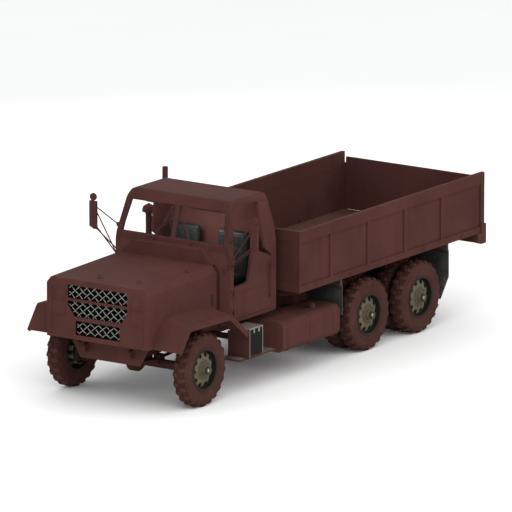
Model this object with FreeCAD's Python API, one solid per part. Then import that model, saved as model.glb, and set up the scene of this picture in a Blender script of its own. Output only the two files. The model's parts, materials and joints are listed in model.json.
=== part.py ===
import FreeCAD, Part
import math
import os

# Bonneted six-wheel-drive cargo truck, millimetres.
# Lengths along the truck are measured rearward from the nose, heights from the ground, +X is the truck's left.
# The export moves the origin to the middle of the footprint.

V = FreeCAD.Vector

# Wheels and axles
TYRE_R = 540.0
TYRE_W = 230.0
RIM_R = 296.0
TYRE_OUTER_X = 1220.0
TWIN_GAP = 80.0
TWIN_HUB_INSET = 10.0
TREAD_DEPTH = 22.0
LUG_COUNT = 22
LUG_W = 72.0
LUG_SKEW = 40.0
LUG_INNER_X = 8.0
SHOULDER = 14.0
RIM_WALL = 14.0
HUB_R = 78.0
SPINDLE_R = 38.0
SPINDLE_PLAY = 1.0
DRUM_R = 205.0
HAND_HOLES = 10
HAND_HOLE_R = 24.0
FRONT_AXLE_Y = 956.0
MID_AXLE_Y = 5146.0
BOGIE_SPREAD = 1345.0
REAR_AXLE_Y = MID_AXLE_Y + BOGIE_SPREAD
AXLE_TUBE_R = 62.0
SNOUT = 300.0
FLANGE_T = 16.0
DIFF_R = 172.0
ENGINE_HALF = 330.0
ENGINE_FRONT_Y = 520.0
ENGINE_REAR_Y = 1640.0
ENGINE_Z = (850.0, 1620.0)
SUMP_HALF = 180.0
SUMP_Z = 760.0
ENGINE_FEET_Y = (1180.0, 1300.0)
RADIATOR_HALF = 430.0
RADIATOR_Y = (215.0, 300.0)
RADIATOR_Z = (1010.0, 1640.0)
RADIATOR_TANK_H = 75.0
RADIATOR_FOOT_REAR = 420.0
CASE_Y = (2280.0, 2680.0)
CASE_Z = (560.0, 900.0)
CASE_OUT_Z = 690.0
GEARBOX_Z = 800.0
GEARBOX_R = 120.0
KINGPIN_X = 900.0
KINGPIN_R = 26.0

# Frame
RAIL_OUTER_X = 432.0
RAIL_FLANGE = 76.0
RAIL_WALL = 12.0
RAIL_BOTTOM = 700.0
RAIL_TOP = 930.0
RAIL_FRONT = 330.0
CROSS_R = 45.0
END_PLATE = 30.0
ARM_W = 70.0
ARM_RISE = 20.0
LEAF_W = 76.0
LEAF_T = 17.0
FRONT_SPRING_HALF = 560.0
BOGIE_LEAVES = 7
BOGIE_SPRING_X = 512.0

# Front end
HOOD_HALF = 885.0
HOOD_LENGTH = 1705.0
HOOD_BOTTOM = 960.0
HOOD_TOP_FRONT = 1840.0
HOOD_RISE = 40.0
HOOD_CHAMFER_X = 77.0
HOOD_CHAMFER_Z = 95.0
HOOD_WALL = 22.0
HOOD_HINGE_Y = 100.0
HOOD_HINGE_Z = 985.0
ARCH_R = 620.0
FLARE_X = 1330.0
FLARE_RISE = 80.0
FLARE_WALL = 18.0
FLARE_LIP = 60.0
BUMPER_Y = 310.0
BUMPER_HALF = 645.0
BUMPER_TOP = 925.0
BUMPER_BOTTOM = 624.0
BUMPER_T = 18.0
BUMPER_END_H = 85.0
BUMPER_TAPER = 122.0
FOLD_DEPTH = 77.0
FOLD_T = 16.0
HINGE_ARM_T = 20.0
HINGE_ARM_LOW = 846.0
TOW_LUG_Y = 258.0
TOW_LUG_Z = 790.0
MESH_PITCH = 118.0
MESH_WIRE = 11.0
MESH_LEAN = 0.62
LAMP_R = 92.0
LAMP_X = 655.0
LAMP_Z = 1618.0
LAMP_DEPTH = 95.0
LAMP_RING = 14.0

# Cab
CAB_HALF = 1000.0
CAB_BOTTOM = 985.0
CAB_WALL = 42.0
COWL_Y = 1785.0
SCREEN_BASE_Y = 1874.0
SCREEN_BASE_Z = 2131.0
SCREEN_TOP_Y = 2028.0
SCREEN_TOP_Z = 2614.0
PILLAR_W = 95.0
SCREEN_HALF_BASE = CAB_HALF - PILLAR_W
SCREEN_HALF_TOP = SCREEN_HALF_BASE - 90.0
SCREEN_POST = 62.0
SCREEN_GLASS = 8.0
CAB_REAR_Y = 3050.0
ROOF_FRONT_Y = 2113.0
ROOF_REAR_Y = CAB_REAR_Y - 117.0
ROOF_Z = 2742.0
ROOF_HALF = CAB_HALF - 140.0
SHOULDER_Z = 2020.0
CAB_KINK_Z = 2243.0
COLLAR_HALF = 606.0
COLLAR_TOP = 2075.0
HOOD_GAP = 12.0
SEAL_INSET = 40.0
DOOR_FRONT_Y = 1975.0
DOOR_REAR_Y = CAB_REAR_Y - 120.0
DOOR_BOTTOM = 1045.0
DOOR_LOW_TOP = 1520.0
DOOR_HIGH_TOP = 1945.0
DOOR_GAP = 8.0
DOOR_T = 46.0
HINGE_R = 11.0
HINGE_PLACES = (1120.0, 1400.0)
HINGE_H = 60.0
HINGE_GAP = 0.5
HANDLE_Y = DOOR_REAR_Y - 60.0
HANDLE_Z = (1240.0, 1700.0)
HANDLE_OUT = 34.0
CREASE_Z = 1420.0
POCKET_Y = (DOOR_FRONT_Y + 65.0, DOOR_REAR_Y - 70.0)
POCKET_Z = (1110.0, 1440.0)
DOOR_SKIN = 14.0
DASH_RING = ((2010.0, 2030.0), (2070.0, 1930.0), (2060.0, 1790.0), (1985.0, 1700.0))
DASH_Z = (1700.0, 2040.0)
COLUMN_R = 26.0
SEAT_INNER_X = 145.0
SEAT_OUTER_X = 710.0
SEAT_ROOM = 300.0  # from the backrest's front to the cab's rear wall
SEAT_LENGTH = 480.0
SEAT_BACK_Y = CAB_REAR_Y - SEAT_ROOM
SEAT_FRONT_Y = SEAT_BACK_Y - SEAT_LENGTH
SEAT_Z = 1415.0
SEAT_TOP = 2165.0
CUSHION_T = 130.0
WHEEL_X = 428.0
WHEEL_Y = 2270.0
WHEEL_Z = 1800.0
WHEEL_TILT = (0.62, 0.785)

# Load bed
BED_HALF = 1270.0
BED_FRONT_Y = CAB_REAR_Y + 216.0
BED_LENGTH = 4819.0
BED_REAR_Y = BED_FRONT_Y + BED_LENGTH
RAIL_REAR = BED_REAR_Y - 125.0
CROSS_PLACES = (RAIL_FRONT + 90.0, 2780.0, 4300.0, MID_AXLE_Y + BOGIE_SPREAD / 2, RAIL_REAR - 710.0)
BED_FLOOR_TOP = 1262.0
BED_FLOOR_BOTTOM = 1224.0
BED_TOP = 2133.0
BED_PANEL = 22.0
BED_RIB = 34.0
RIB_W = 70.0
RIB_COUNT = 4
RIB_FIRST_Y = 4091.0
RIB_PITCH = 962.0
HEADBOARD_T = 40.0
RAIL_CAP_H = 165.0
SILL_TOP = 1224.0
SILL_H = 95.0
SILL_TIP_H = 35.0
SILL_W = 80.0
SILL_HALF = 1180.0
SILL_KNEE_X = 900.0
SILL_COUNT = 9
SILL_FIRST = 90.0
SILL_PITCH = 560.0
GATE_T = 40.0
GATE_TOP = 2060.0
POST_W = 92.0
POST_TOP = 1355.0
BEAM_BOTTOM = 1060.0
BEAM_OVERHANG = 30.0
BEAM_REAR_Y = BED_REAR_Y + BEAM_OVERHANG
BEAM_DEPTH = 215.0
PINTLE_Z = 815.0
PINTLE_REACH = 170.0
PINTLE_EYE_R = 36.0
PINTLE_T = 56.0
TOW_LUG_T = 40.0
TOW_LUG_R = 22.0
GATE_HINGE_Z = 1240.0
GATE_PIN_R = 8.0
GATE_HINGES = (-760.0, 0.0, 760.0)

# Side equipment
STEP_OUTER_X = 1290.0
STEP_INNER_X = 940.0
STEP_BOX_INSET = 40.0
STEP_BOX_Y = (1955.0, 2290.0)
STEP_BOX_TOP = 950.0
BOARD_Y = (1742.0, 2640.0)
BOARD_Z = 505.0
BOARD_T = 26.0
TANK_OUTER_X = 1305.0
TANK_INNER_X = 690.0
TANK_Y = (2785.0, 4240.0)
TANK_Z = (435.0, 888.0)
STACK_X = -1020.0
STACK_Y = CAB_REAR_Y + 102.0
STACK_TOP = 2830.0
STACK_R = 42.0
STACK_WALL = 5.0
SILENCER_R = 88.0
SILENCER_Z = (1060.0, 1820.0)
STACK_FOOT_Z = 1000.0
CLEANER_X = -1240.0
CLEANER_Y = CAB_REAR_Y
CLEANER_R = 82.0
CLEANER_CAP_Z = 2270.0
CLEANER_CAP = ((0, 105.0), (92.0, 105.0), (96.0, 70.0), (78.0, 30.0), (40.0, 8.0), (0, 0))
CLEANER_H = 520.0
RISER_R = 46.0
MIRROR_X = CAB_HALF + 410.0
MIRROR_Y = 1900.0
MIRROR_W = 132.0
MIRROR_Z = (2095.0, 2510.0)
MIRROR_T = 24.0
MIRROR_CUT = 38.0
ROUND_MIRROR_R = 55.0
STAY_Y = 1932.0
STAY_R = 9.0
PILLAR_STAYS = ((2213.0, 2440.0), (1828.0, 2125.0))  # heights of foot and tip
COWL_FOOT = (948.0, 1834.0, 1790.0)
COWL_STAY_TIPS = (2395.0, 2160.0)
FLAP_FRONT_Y = MID_AXLE_Y - 766.0
FLAP_REAR_Y = REAR_AXLE_Y + 669.0
FLAP_T = 14.0
FLAP_TOP = 1120.0
FLAP_REAR = ((560.0, 367.0), (560.0, 1120.0), (1250.0, 1120.0), (1250.0, 720.0), (1110.0, 367.0))
FLAP_FRONT = ((640.0, 660.0), (640.0, 1120.0), (1250.0, 1120.0), (1250.0, 690.0))
FLAP_BAR_X = (520.0, 1240.0)
SEAT_CLEAR = 0.3
MOVE_CLEAR = 8.0
BEZEL_T = 12.0
TIE_ARM = 180.0
TIE_Z = 430.0
TIE_PIN_X = KINGPIN_X
TIE_PIN_R = 13.0
STRAP_END = 150.0
STRAP_W = 60.0
STRAP_T = 5.0
HOOD_PIN_R = 12.0
HOOD_EAR_X = (470.0, 500.0)
WHEEL_RING_R = 215.0

CENTRE_Y = (BEAM_REAR_Y + PINTLE_REACH - BEZEL_T - SEAT_CLEAR) / 2
WHEEL_CENTRE_X = TYRE_OUTER_X - TYRE_W / 2
INNER_TWIN_X = WHEEL_CENTRE_X - TYRE_W - TWIN_GAP


def box(x0, x1, y0, y1, z0, z1):
    return Part.makeBox(x1 - x0, y1 - y0, z1 - z0, V(x0, y0, z0))


def rod(start, end, radius):
    a, b = V(*start), V(*end)
    return Part.makeCylinder(radius, (b - a).Length, a, b - a)


def bar(start, end, width):
    """A square bar from start to end."""
    a, b = V(*start), V(*end)
    along = (b - a).normalize()
    side = along.cross(V(0, 0, 1) if abs(along.z) < 0.9 else V(0, 1, 0)).normalize() * (width / 2)
    rise = along.cross(side)
    ring = [a + side + rise, a - side + rise, a - side - rise, a + side - rise]
    return Part.Face(Part.makePolygon(ring + ring[:1])).extrude(b - a)


def outline(points, radius, place):
    """A closed wire through 2-D points whose corners are rounded by an arc."""
    count = len(points)
    radii = radius if isinstance(radius, (list, tuple)) else [radius] * count
    edges, ends = [], []
    for i in range(count):
        before, here, after = (V(*points[j % count], 0) for j in (i - 1, i, i + 1))
        if radii[i] <= 0:
            ends.append((here, here))
            continue
        to_before, to_after = (before - here).normalize(), (after - here).normalize()
        half = to_before.getAngle(to_after) / 2
        cut = radii[i] / math.tan(half)
        middle = (to_before + to_after).normalize()
        centre = here + middle * (radii[i] / math.sin(half))
        start, end = here + to_before * cut, here + to_after * cut
        ends.append((start, end))
        edges.append(Part.Arc(place(start), place(centre - middle * radii[i]), place(end)).toShape())
    for i in range(count):
        start, end = ends[i][1], ends[(i + 1) % count][0]
        if (end - start).Length > 1e-6:
            edges.append(Part.makeLine(place(start), place(end)))
    return Part.Wire(Part.__sortEdges__(edges))


def prism_x(points, x0, x1, radius=0):
    """A (Y, Z) outline carried along X."""
    return Part.Face(outline(points, radius, lambda p: V(x0, p.x, p.y))).extrude(V(x1 - x0, 0, 0))


def prism_y(points, y0, y1, radius=0):
    """An (X, Z) outline carried along Y."""
    return Part.Face(outline(points, radius, lambda p: V(p.x, y0, p.y))).extrude(V(0, y1 - y0, 0))


def prism_z(points, z0, z1, radius=0):
    """An (X, Y) outline carried along Z."""
    return Part.Face(outline(points, radius, lambda p: V(p.x, p.y, z0))).extrude(V(0, 0, z1 - z0))


def turned(profile, centre):
    """A (radius, X) profile turned about the X-wise line through centre."""
    ring = [V(centre[0] + x, centre[1], centre[2] + r) for r, x in profile]
    return Part.Face(Part.makePolygon(ring + ring[:1])).revolve(V(*centre), V(1, 0, 0), 360)


def flipped(shape):
    return shape.mirror(V(0, 0, 0), V(1, 0, 0))


def pair(shape):
    """The piece and its mirror image across the truck's centre plane."""
    return Part.makeCompound([shape, flipped(shape)])


def joined(shapes):
    first, rest = shapes[0], list(shapes[1:])
    return (first.multiFuse(rest) if rest else first).removeSplitter()


def offset_path(points, distance):
    """An open 2-D path moved sideways by a distance, with mitred corners."""
    moved = []
    for i, here in enumerate(points):
        ways = []
        for a, b in ((i - 1, i), (i, i + 1)):
            if a >= 0 and b < len(points):
                run = (points[b][0] - points[a][0], points[b][1] - points[a][1])
                length = math.hypot(*run)
                ways.append((-run[1] / length, run[0] / length))
        nx, ny = sum(w[0] for w in ways), sum(w[1] for w in ways)
        size = math.hypot(nx, ny)
        nx, ny = nx / size, ny / size
        stretch = 1 / (nx * ways[0][0] + ny * ways[0][1])
        moved.append((here[0] + nx * distance * stretch, here[1] + ny * distance * stretch))
    return moved


def sheet(points, wall):
    """The closed outline of a bent sheet whose outer face follows the points."""
    return list(points) + list(reversed(offset_path(points, wall)))


def rail_piece(side):
    """One channel rail, open towards the middle of the truck."""
    outer = side * RAIL_OUTER_X
    inner = side * (RAIL_OUTER_X - RAIL_FLANGE)
    web = side * (RAIL_OUTER_X - RAIL_WALL)
    section = [
        (outer, RAIL_BOTTOM), (outer, RAIL_TOP), (inner, RAIL_TOP), (inner, RAIL_TOP - RAIL_WALL),
        (web, RAIL_TOP - RAIL_WALL), (web, RAIL_BOTTOM + RAIL_WALL), (inner, RAIL_BOTTOM + RAIL_WALL),
        (inner, RAIL_BOTTOM),
    ]
    return prism_y(section, RAIL_FRONT, RAIL_REAR)


def frame():
    """Two channel rails, the tubes between them and the brackets that carry tanks and steps, each on its seat."""
    middle_z = (RAIL_BOTTOM + RAIL_TOP) / 2
    web_x = RAIL_OUTER_X - RAIL_WALL - SEAT_CLEAR
    inside = RAIL_WALL + SEAT_CLEAR
    pieces = [rail_piece(1), rail_piece(-1)]
    for y in CROSS_PLACES:
        pieces.append(rod((-web_x, y, middle_z), (web_x, y, middle_z), CROSS_R))
    pieces.append(box(-web_x, web_x, RAIL_REAR - END_PLATE, RAIL_REAR, RAIL_BOTTOM + inside, RAIL_TOP - inside))
    arms = [(y, TANK_INNER_X - STRAP_T) for y in strap_places()]
    arms.append((sum(STEP_BOX_Y) / 2, STEP_INNER_X + STEP_BOX_INSET))
    low = RAIL_BOTTOM + ARM_RISE
    for y, reach in arms:
        arm = box(RAIL_OUTER_X + SEAT_CLEAR, reach - SEAT_CLEAR, y - ARM_W / 2, y + ARM_W / 2, low, low + ARM_W)
        pieces += [arm, flipped(arm)]
    return Part.makeCompound(pieces)


def strap_places():
    """Where the tank straps and the frame arms behind them sit along the truck."""
    return (TANK_Y[0] + STRAP_END, (TANK_Y[0] + TANK_Y[1]) / 2, TANK_Y[1] - STRAP_END)


def export(shape, name):
    shape = shape.copy()
    shape.translate(V(0, -CENTRE_Y, 0))
    shape.exportStep("parts/" + name + ".step")


def front_bumper():
    """The low front cross plate with its folded lower edge, two tow lugs and the arms that carry the hood's hinge."""
    shoulder, narrow = BUMPER_TOP - BUMPER_END_H, BUMPER_HALF - BUMPER_TAPER
    face = [
        (-BUMPER_HALF, shoulder), (-BUMPER_HALF, BUMPER_TOP), (BUMPER_HALF, BUMPER_TOP),
        (BUMPER_HALF, shoulder),
        (narrow, BUMPER_BOTTOM), (-narrow, BUMPER_BOTTOM),
    ]
    back = BUMPER_Y + BUMPER_T
    plate = prism_y(face, BUMPER_Y, back, 12.0)
    fold = box(-narrow + 8.0, narrow - 8.0, back, back + FOLD_DEPTH, BUMPER_BOTTOM, BUMPER_BOTTOM + FOLD_T)
    return joined([plate, fold] + [piece for side in (1, -1) for piece in tow_lug(side) + hinge_arm(side)])


def tow_lug(side):
    """A bored lug in front of the bumper and the block that ties it to the rail's end."""
    x = side * (RAIL_OUTER_X - RAIL_FLANGE / 2)
    half, tip, root = TOW_LUG_T / 2, TOW_LUG_Y - 45.0, BUMPER_Y + 5.0
    section = [
        (root, TOW_LUG_Z - 70.0), (root, TOW_LUG_Z + 70.0), (tip, TOW_LUG_Z + 50.0), (tip, TOW_LUG_Z - 50.0),
    ]
    lug = prism_x(section, x - half, x + half, [0, 0, 2 * TOW_LUG_R, 2 * TOW_LUG_R])
    bore = rod((x - TOW_LUG_T, TOW_LUG_Y, TOW_LUG_Z), (x + TOW_LUG_T, TOW_LUG_Y, TOW_LUG_Z), TOW_LUG_R)
    inset = RAIL_WALL + 2.0
    tie = box(
        x - RAIL_FLANGE / 2 + 2.0, x + RAIL_FLANGE / 2 - 2.0, BUMPER_Y + BUMPER_T - 3.0,
        RAIL_FRONT - SEAT_CLEAR,
        RAIL_BOTTOM + inset, RAIL_TOP - inset,
    )
    return [lug.cut(bore), tie]


def hinge_arm(side):
    """The upright arm beside the hood's ear, with the hinge pin through both."""
    near = HOOD_EAR_X[1] + MOVE_CLEAR / 2
    arm0, arm1 = sorted((side * near, side * (near + HINGE_ARM_T)))
    y, z, root, r = HOOD_HINGE_Y, HOOD_HINGE_Z, BUMPER_Y + BUMPER_T - 3.0, HOOD_PIN_R + 14.0
    arm = prism_x([
        (root, HINGE_ARM_LOW), (root, BUMPER_TOP), (y + 45.0, z + r), (y - r, z + r), (y - r, z - r),
        (BUMPER_Y - 40.0, HINGE_ARM_LOW),
    ], arm0, arm1, [0, 0, 18.0, 25.0, 25.0, 18.0])
    start = side * (HOOD_EAR_X[0] - MOVE_CLEAR / 2)
    return [arm, rod((start, y, z), (side * (near + HINGE_ARM_T), y, z), HOOD_PIN_R)]


def axle_tube(y, reach, z=TYRE_R):
    """A live axle: tube, bowl-shaped gear housing and its input snout."""
    bowl = turned([(0, -150), (90, -140), (DIFF_R, -60), (DIFF_R, 60), (90, 140), (0, 150)], (0, y, z))
    tube = rod((-reach, y, z), (reach, y, z), AXLE_TUBE_R)
    return [bowl, tube]


def flanged_shaft(start, end, radius):
    """A round shaft lying along the truck, with an upright flange at each end."""
    flange_r = radius + 24.0
    inset = V(0, FLANGE_T / 2, 0)
    pieces = [rod(V(*start) + inset, V(*end) - inset, radius)]
    for (x, y, z), way in ((start, 1), (end, -1)):
        pieces.append(rod((x, y, z), (x, y + way * FLANGE_T, z), flange_r))
    return joined(pieces)


def front_axle():
    """The steered live axle, ending in forked yokes around the kingpins."""
    reach = KINGPIN_X - 90.0
    pieces = axle_tube(FRONT_AXLE_Y, reach)
    pieces.append(
        flanged_shaft((0, FRONT_AXLE_Y + 120.0, TYRE_R), (0, FRONT_AXLE_Y + SNOUT, TYRE_R + 20.0), 62.0)
    )
    for side in (1, -1):
        x = side * KINGPIN_X
        web0, web1 = sorted((side * (reach - 20.0), side * (reach + 22.0)))
        pieces.append(box(web0, web1, FRONT_AXLE_Y - 62.0, FRONT_AXLE_Y + 62.0, TYRE_R - 130.0, TYRE_R + 130.0))
        for low in (TYRE_R - 130.0, TYRE_R + 92.0):
            ear0, ear1 = sorted((side * (reach + 10.0), x))
            ear = box(ear0, ear1, FRONT_AXLE_Y - 42.0, FRONT_AXLE_Y + 42.0, low, low + 38.0)
            ear = ear.fuse(Part.makeCylinder(42.0, 38.0, V(x, FRONT_AXLE_Y, low), V(0, 0, 1)))
            pieces.append(
                ear.cut(Part.makeCylinder(KINGPIN_R + 0.5, 60.0, V(x, FRONT_AXLE_Y, low - 10.0), V(0, 0, 1)))
            )
        pad_x = side * (RAIL_OUTER_X - RAIL_FLANGE / 2)
        pieces.append(
            box(pad_x - 48.0, pad_x + 48.0, FRONT_AXLE_Y - 90.0, FRONT_AXLE_Y + 90.0, TYRE_R, TYRE_R + 66.0)
        )
    return joined(pieces)


def bogie_axles():
    """Two driven axles side by side under the load bed."""
    shapes = []
    for y in (MID_AXLE_Y, REAR_AXLE_Y):
        reach = INNER_TWIN_X - TYRE_W / 2 + TWIN_HUB_INSET - MOVE_CLEAR
        pieces = axle_tube(y, reach)
        pieces.append(flanged_shaft((0, y - SNOUT, TYRE_R + 55.0), (0, y - 60.0, TYRE_R + 40.0), 62.0))
        if y < REAR_AXLE_Y:
            pieces.append(flanged_shaft((0, y + 60.0, TYRE_R + 30.0), (0, y + SNOUT, TYRE_R + 40.0), 52.0))
        for side in (1, -1):
            x = side * BOGIE_SPRING_X
            pieces.append(box(x - 50.0, x + 50.0, y - 80.0, y + 80.0, TYRE_R, TYRE_R + 84.0))
            flange0, flange1 = sorted(
                (side * (INNER_TWIN_X - TYRE_W / 2 - 35.0), side * (INNER_TWIN_X - TYRE_W / 2 - 20.0))
            )
            pieces.append(rod((flange0, y, TYRE_R), (flange1, y, TYRE_R), 120.0))
            end0, end1 = side * (reach - 5.0), side * (WHEEL_CENTRE_X - 10.0)
            pieces.append(rod((end0, y, TYRE_R), (end1, y, TYRE_R), SPINDLE_R))
        shapes.append(joined(pieces))
    return Part.makeCompound(shapes)


def leaf(x, y, half, middle_z, camber):
    """One curved leaf across an axle; its ends stand higher than its middle by the camber."""
    end_z = middle_z + camber
    rise = LEAF_T + 0.4
    lower = Part.Arc(V(0, y - half, end_z), V(0, y, middle_z), V(0, y + half, end_z)).toShape()
    upper = Part.Arc(
        V(0, y + half, end_z + rise), V(0, y, middle_z + rise), V(0, y - half, end_z + rise),
    ).toShape()
    front = Part.makeLine(V(0, y - half, end_z + rise), V(0, y - half, end_z))
    rear = Part.makeLine(V(0, y + half, end_z), V(0, y + half, end_z + rise))
    face = Part.Face(Part.Wire(Part.__sortEdges__([lower, rear, upper, front])))
    solid = face.extrude(V(LEAF_W, 0, 0))
    solid.translate(V(x - LEAF_W / 2, 0, 0))
    return solid


def springs():
    """Front leaf springs on their hangers and the rear springs across both bogie axles."""
    shapes = []
    rail_x = RAIL_OUTER_X - RAIL_FLANGE / 2
    seat = TYRE_R + 66.0 + SEAT_CLEAR
    front = [leaf(rail_x, FRONT_AXLE_Y, FRONT_SPRING_HALF, seat, 42.0)]
    front.append(
        box(
            rail_x - 44.0, rail_x + 44.0, FRONT_AXLE_Y - 62.0, FRONT_AXLE_Y + 62.0, seat + LEAF_T,
            RAIL_BOTTOM - 30.0,
        )
    )
    for end in (-1, 1):
        y = FRONT_AXLE_Y + end * (FRONT_SPRING_HALF - 15.0)
        front.append(
            box(rail_x - 34.0, rail_x + 34.0, y - 30.0, y + 30.0, seat + 36.0, RAIL_BOTTOM - SEAT_CLEAR)
        )
    shapes += [joined(front)]
    middle = (MID_AXLE_Y + REAR_AXLE_Y) / 2
    half = (REAR_AXLE_Y - MID_AXLE_Y) / 2 + 60.0
    low = TYRE_R + 84.0 + SEAT_CLEAR
    stack = []
    for i in range(BOGIE_LEAVES):
        share = 1 - 0.11 * i
        stack.append(leaf(BOGIE_SPRING_X, middle, half * share, low + 75.0 + i * LEAF_T, -75.0 * share ** 2))
    trunnion = rod(
        (RAIL_OUTER_X + SEAT_CLEAR, middle, 620.0), (BOGIE_SPRING_X + LEAF_W / 2 + 20.0, middle, 620.0), 62.0,
    )
    saddle = box(BOGIE_SPRING_X - 52.0, BOGIE_SPRING_X + 52.0, middle - 85.0, middle + 85.0, 620.0, low + 82.0)
    cap = box(
        BOGIE_SPRING_X - 52.0, BOGIE_SPRING_X + 52.0, middle - 70.0, middle + 70.0,
        low + 60.0 + BOGIE_LEAVES * LEAF_T, low + 110.0 + BOGIE_LEAVES * LEAF_T,
    )
    hanger = prism_x([
        (middle - 150.0, RAIL_TOP - 50.0), (middle + 150.0, RAIL_TOP - 50.0), (middle + 75.0, 560.0),
        (middle - 75.0, 560.0),
    ], RAIL_OUTER_X + SEAT_CLEAR, RAIL_OUTER_X + 22.0, [20.0, 20.0, 60.0, 60.0])
    shapes += [joined(stack + [trunnion, saddle, cap, hanger])]
    return Part.makeCompound([s for shape in shapes for s in (shape, flipped(shape))])


def driveline():
    """Gearbox, transfer case and the shafts to the three axles, flange to flange."""
    front, rear, low, high = CASE_Y[0], CASE_Y[1], CASE_Z[0], CASE_Z[1]
    case = prism_x([
        (front, low), (front, high), (rear - 60.0, high), (rear, (low + high) / 2 - 30.0), (rear - 60.0, low),
    ], -170.0, 200.0, 40.0)
    gearbox = rod((0, ENGINE_REAR_Y + SEAT_CLEAR, GEARBOX_Z), (0, front + 20.0, GEARBOX_Z), GEARBOX_R)
    output = (0, rear + 20.0, CASE_OUT_Z)
    boss = rod((0, rear - 60.0, CASE_OUT_Z), output, 64.0)
    gap = SNOUT + SEAT_CLEAR
    to_front = flanged_shaft((0, FRONT_AXLE_Y + gap, TYRE_R + 20.0), (0, front - SEAT_CLEAR, low + 64.0), 38.0)
    to_rear = flanged_shaft(
        (0, rear + 20.0 + SEAT_CLEAR, CASE_OUT_Z), (0, MID_AXLE_Y - gap, TYRE_R + 55.0), 44.0,
    )
    between = flanged_shaft((0, MID_AXLE_Y + gap, TYRE_R + 40.0), (0, REAR_AXLE_Y - gap, TYRE_R + 55.0), 40.0)
    return Part.makeCompound([joined([case, gearbox, boss]), to_front, to_rear, between])


def engine():
    """One plain block with its sump, at the real place and size."""
    low, high, half, bevel = ENGINE_Z[0], ENGINE_Z[1], ENGINE_HALF, 60.0
    section = [
        (-half, low), (-half, high - bevel), (-half + 100.0, high), (half - 100.0, high), (half, high - bevel),
        (half, low), (SUMP_HALF, SUMP_Z), (-SUMP_HALF, SUMP_Z),
    ]
    block = prism_y(section, ENGINE_FRONT_Y, ENGINE_REAR_Y)
    reach = RAIL_OUTER_X - RAIL_FLANGE + 40.0
    feet = box(-reach, reach, ENGINE_FEET_Y[0], ENGINE_FEET_Y[1], RAIL_TOP + SEAT_CLEAR, RAIL_TOP + 60.0)
    return joined([block, feet])


def radiator():
    """Core, header tank and foot, on two legs that stand on the frame rails."""
    front, rear = RADIATOR_Y
    low, high = RADIATOR_Z
    half = RADIATOR_HALF
    core = box(-half, half, front, rear, low, high)
    top = high + RADIATOR_TANK_H
    tank = prism_x([
        (front - 10.0, high), (front - 10.0, top - 25.0), (front + 10.0, top), (rear - 10.0, top),
        (rear + 10.0, top - 25.0), (rear + 10.0, high),
    ], -half - 10.0, half + 10.0)
    foot = box(-half - 10.0, half + 10.0, front - 10.0, RADIATOR_FOOT_REAR, low - 40.0, low)
    rail = RAIL_OUTER_X - RAIL_FLANGE / 2
    leg = box(
        rail - 30.0, rail + 30.0, RAIL_FRONT + 10.0, RADIATOR_FOOT_REAR, RAIL_TOP + SEAT_CLEAR, low - 35.0,
    )
    return joined([core, tank, foot, leg, flipped(leg)])


def hood_section(y, inset):
    """The hood's cross-section at a length, moved inward by a wall."""
    top = HOOD_TOP_FRONT + HOOD_RISE * y / HOOD_LENGTH - inset
    half = HOOD_HALF - inset
    low = HOOD_BOTTOM - (10.0 if inset else 0.0)
    ring = [
        (-half, low), (-half, top - HOOD_CHAMFER_Z), (-half + HOOD_CHAMFER_X, top),
        (half - HOOD_CHAMFER_X, top), (half, top - HOOD_CHAMFER_Z), (half, low),
    ]
    return outline(ring, [0, 30.0, 30.0, 30.0, 30.0, 0], lambda p: V(p.x, y, p.y))


GRILLE_HALF = 524.0
GRILLE_ROWS = ((1556.0, 1752.0), (1295.0, 1519.0), (1028.0, 1236.0))


def grille_outline(row, grow=0.0):
    """The outline of one of the three grille openings."""
    low, high = GRILLE_ROWS[row]
    half = GRILLE_HALF if row < 2 else 388.0
    if row == 1:
        return [
            (-410.0 - grow, low - grow), (-half - grow, high - 62.0), (-half - grow, high + grow),
            (half + grow, high + grow), (half + grow, high - 62.0), (410.0 + grow, low - grow),
        ]
    return [
        (-half - grow, low - grow), (-half - grow, high + grow), (half + grow, high + grow),
        (half + grow, low - grow),
    ]


def hood():
    """The tilting hood: a folded shell with its front frame and open wheel arches."""
    outer = Part.makeLoft([hood_section(0.0, 0.0), hood_section(HOOD_LENGTH, 0.0)], True, True)
    inner = Part.makeLoft(
        [hood_section(HOOD_WALL, HOOD_WALL), hood_section(HOOD_LENGTH + 5.0, HOOD_WALL)], True, True,
    )
    shell = outer.cut(inner)
    for row in range(len(GRILLE_ROWS)):
        shell = shell.cut(prism_y(grille_outline(row), -50.0, 60.0, 14.0))
    arch = rod((-HOOD_HALF - 50.0, FRONT_AXLE_Y, TYRE_R), (HOOD_HALF + 50.0, FRONT_AXLE_Y, TYRE_R), ARCH_R)
    shell = shell.cut(arch)
    ears = []
    for side in (1, -1):
        x0, x1 = sorted((side * HOOD_EAR_X[0], side * HOOD_EAR_X[1]))
        ear = prism_x([
            (HOOD_WALL - 2.0, HOOD_HINGE_Z - 25.0), (HOOD_WALL - 2.0, HOOD_HINGE_Z + 75.0),
            (HOOD_HINGE_Y + 35.0, HOOD_HINGE_Z + 30.0), (HOOD_HINGE_Y + 35.0, HOOD_HINGE_Z - 25.0),
        ], x0, x1, [0, 0, 22.0, 22.0])
        bore = rod(
            (x0 - 5.0, HOOD_HINGE_Y, HOOD_HINGE_Z), (x1 + 5.0, HOOD_HINGE_Y, HOOD_HINGE_Z), HOOD_PIN_R + 0.4,
        )
        ears.append(ear.cut(bore))
        lamp_x = side * LAMP_X
        shell = shell.cut(rod((lamp_x, -20.0, LAMP_Z), (lamp_x, 60.0, LAMP_Z), LAMP_R))
    return joined([shell] + ears)


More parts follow.
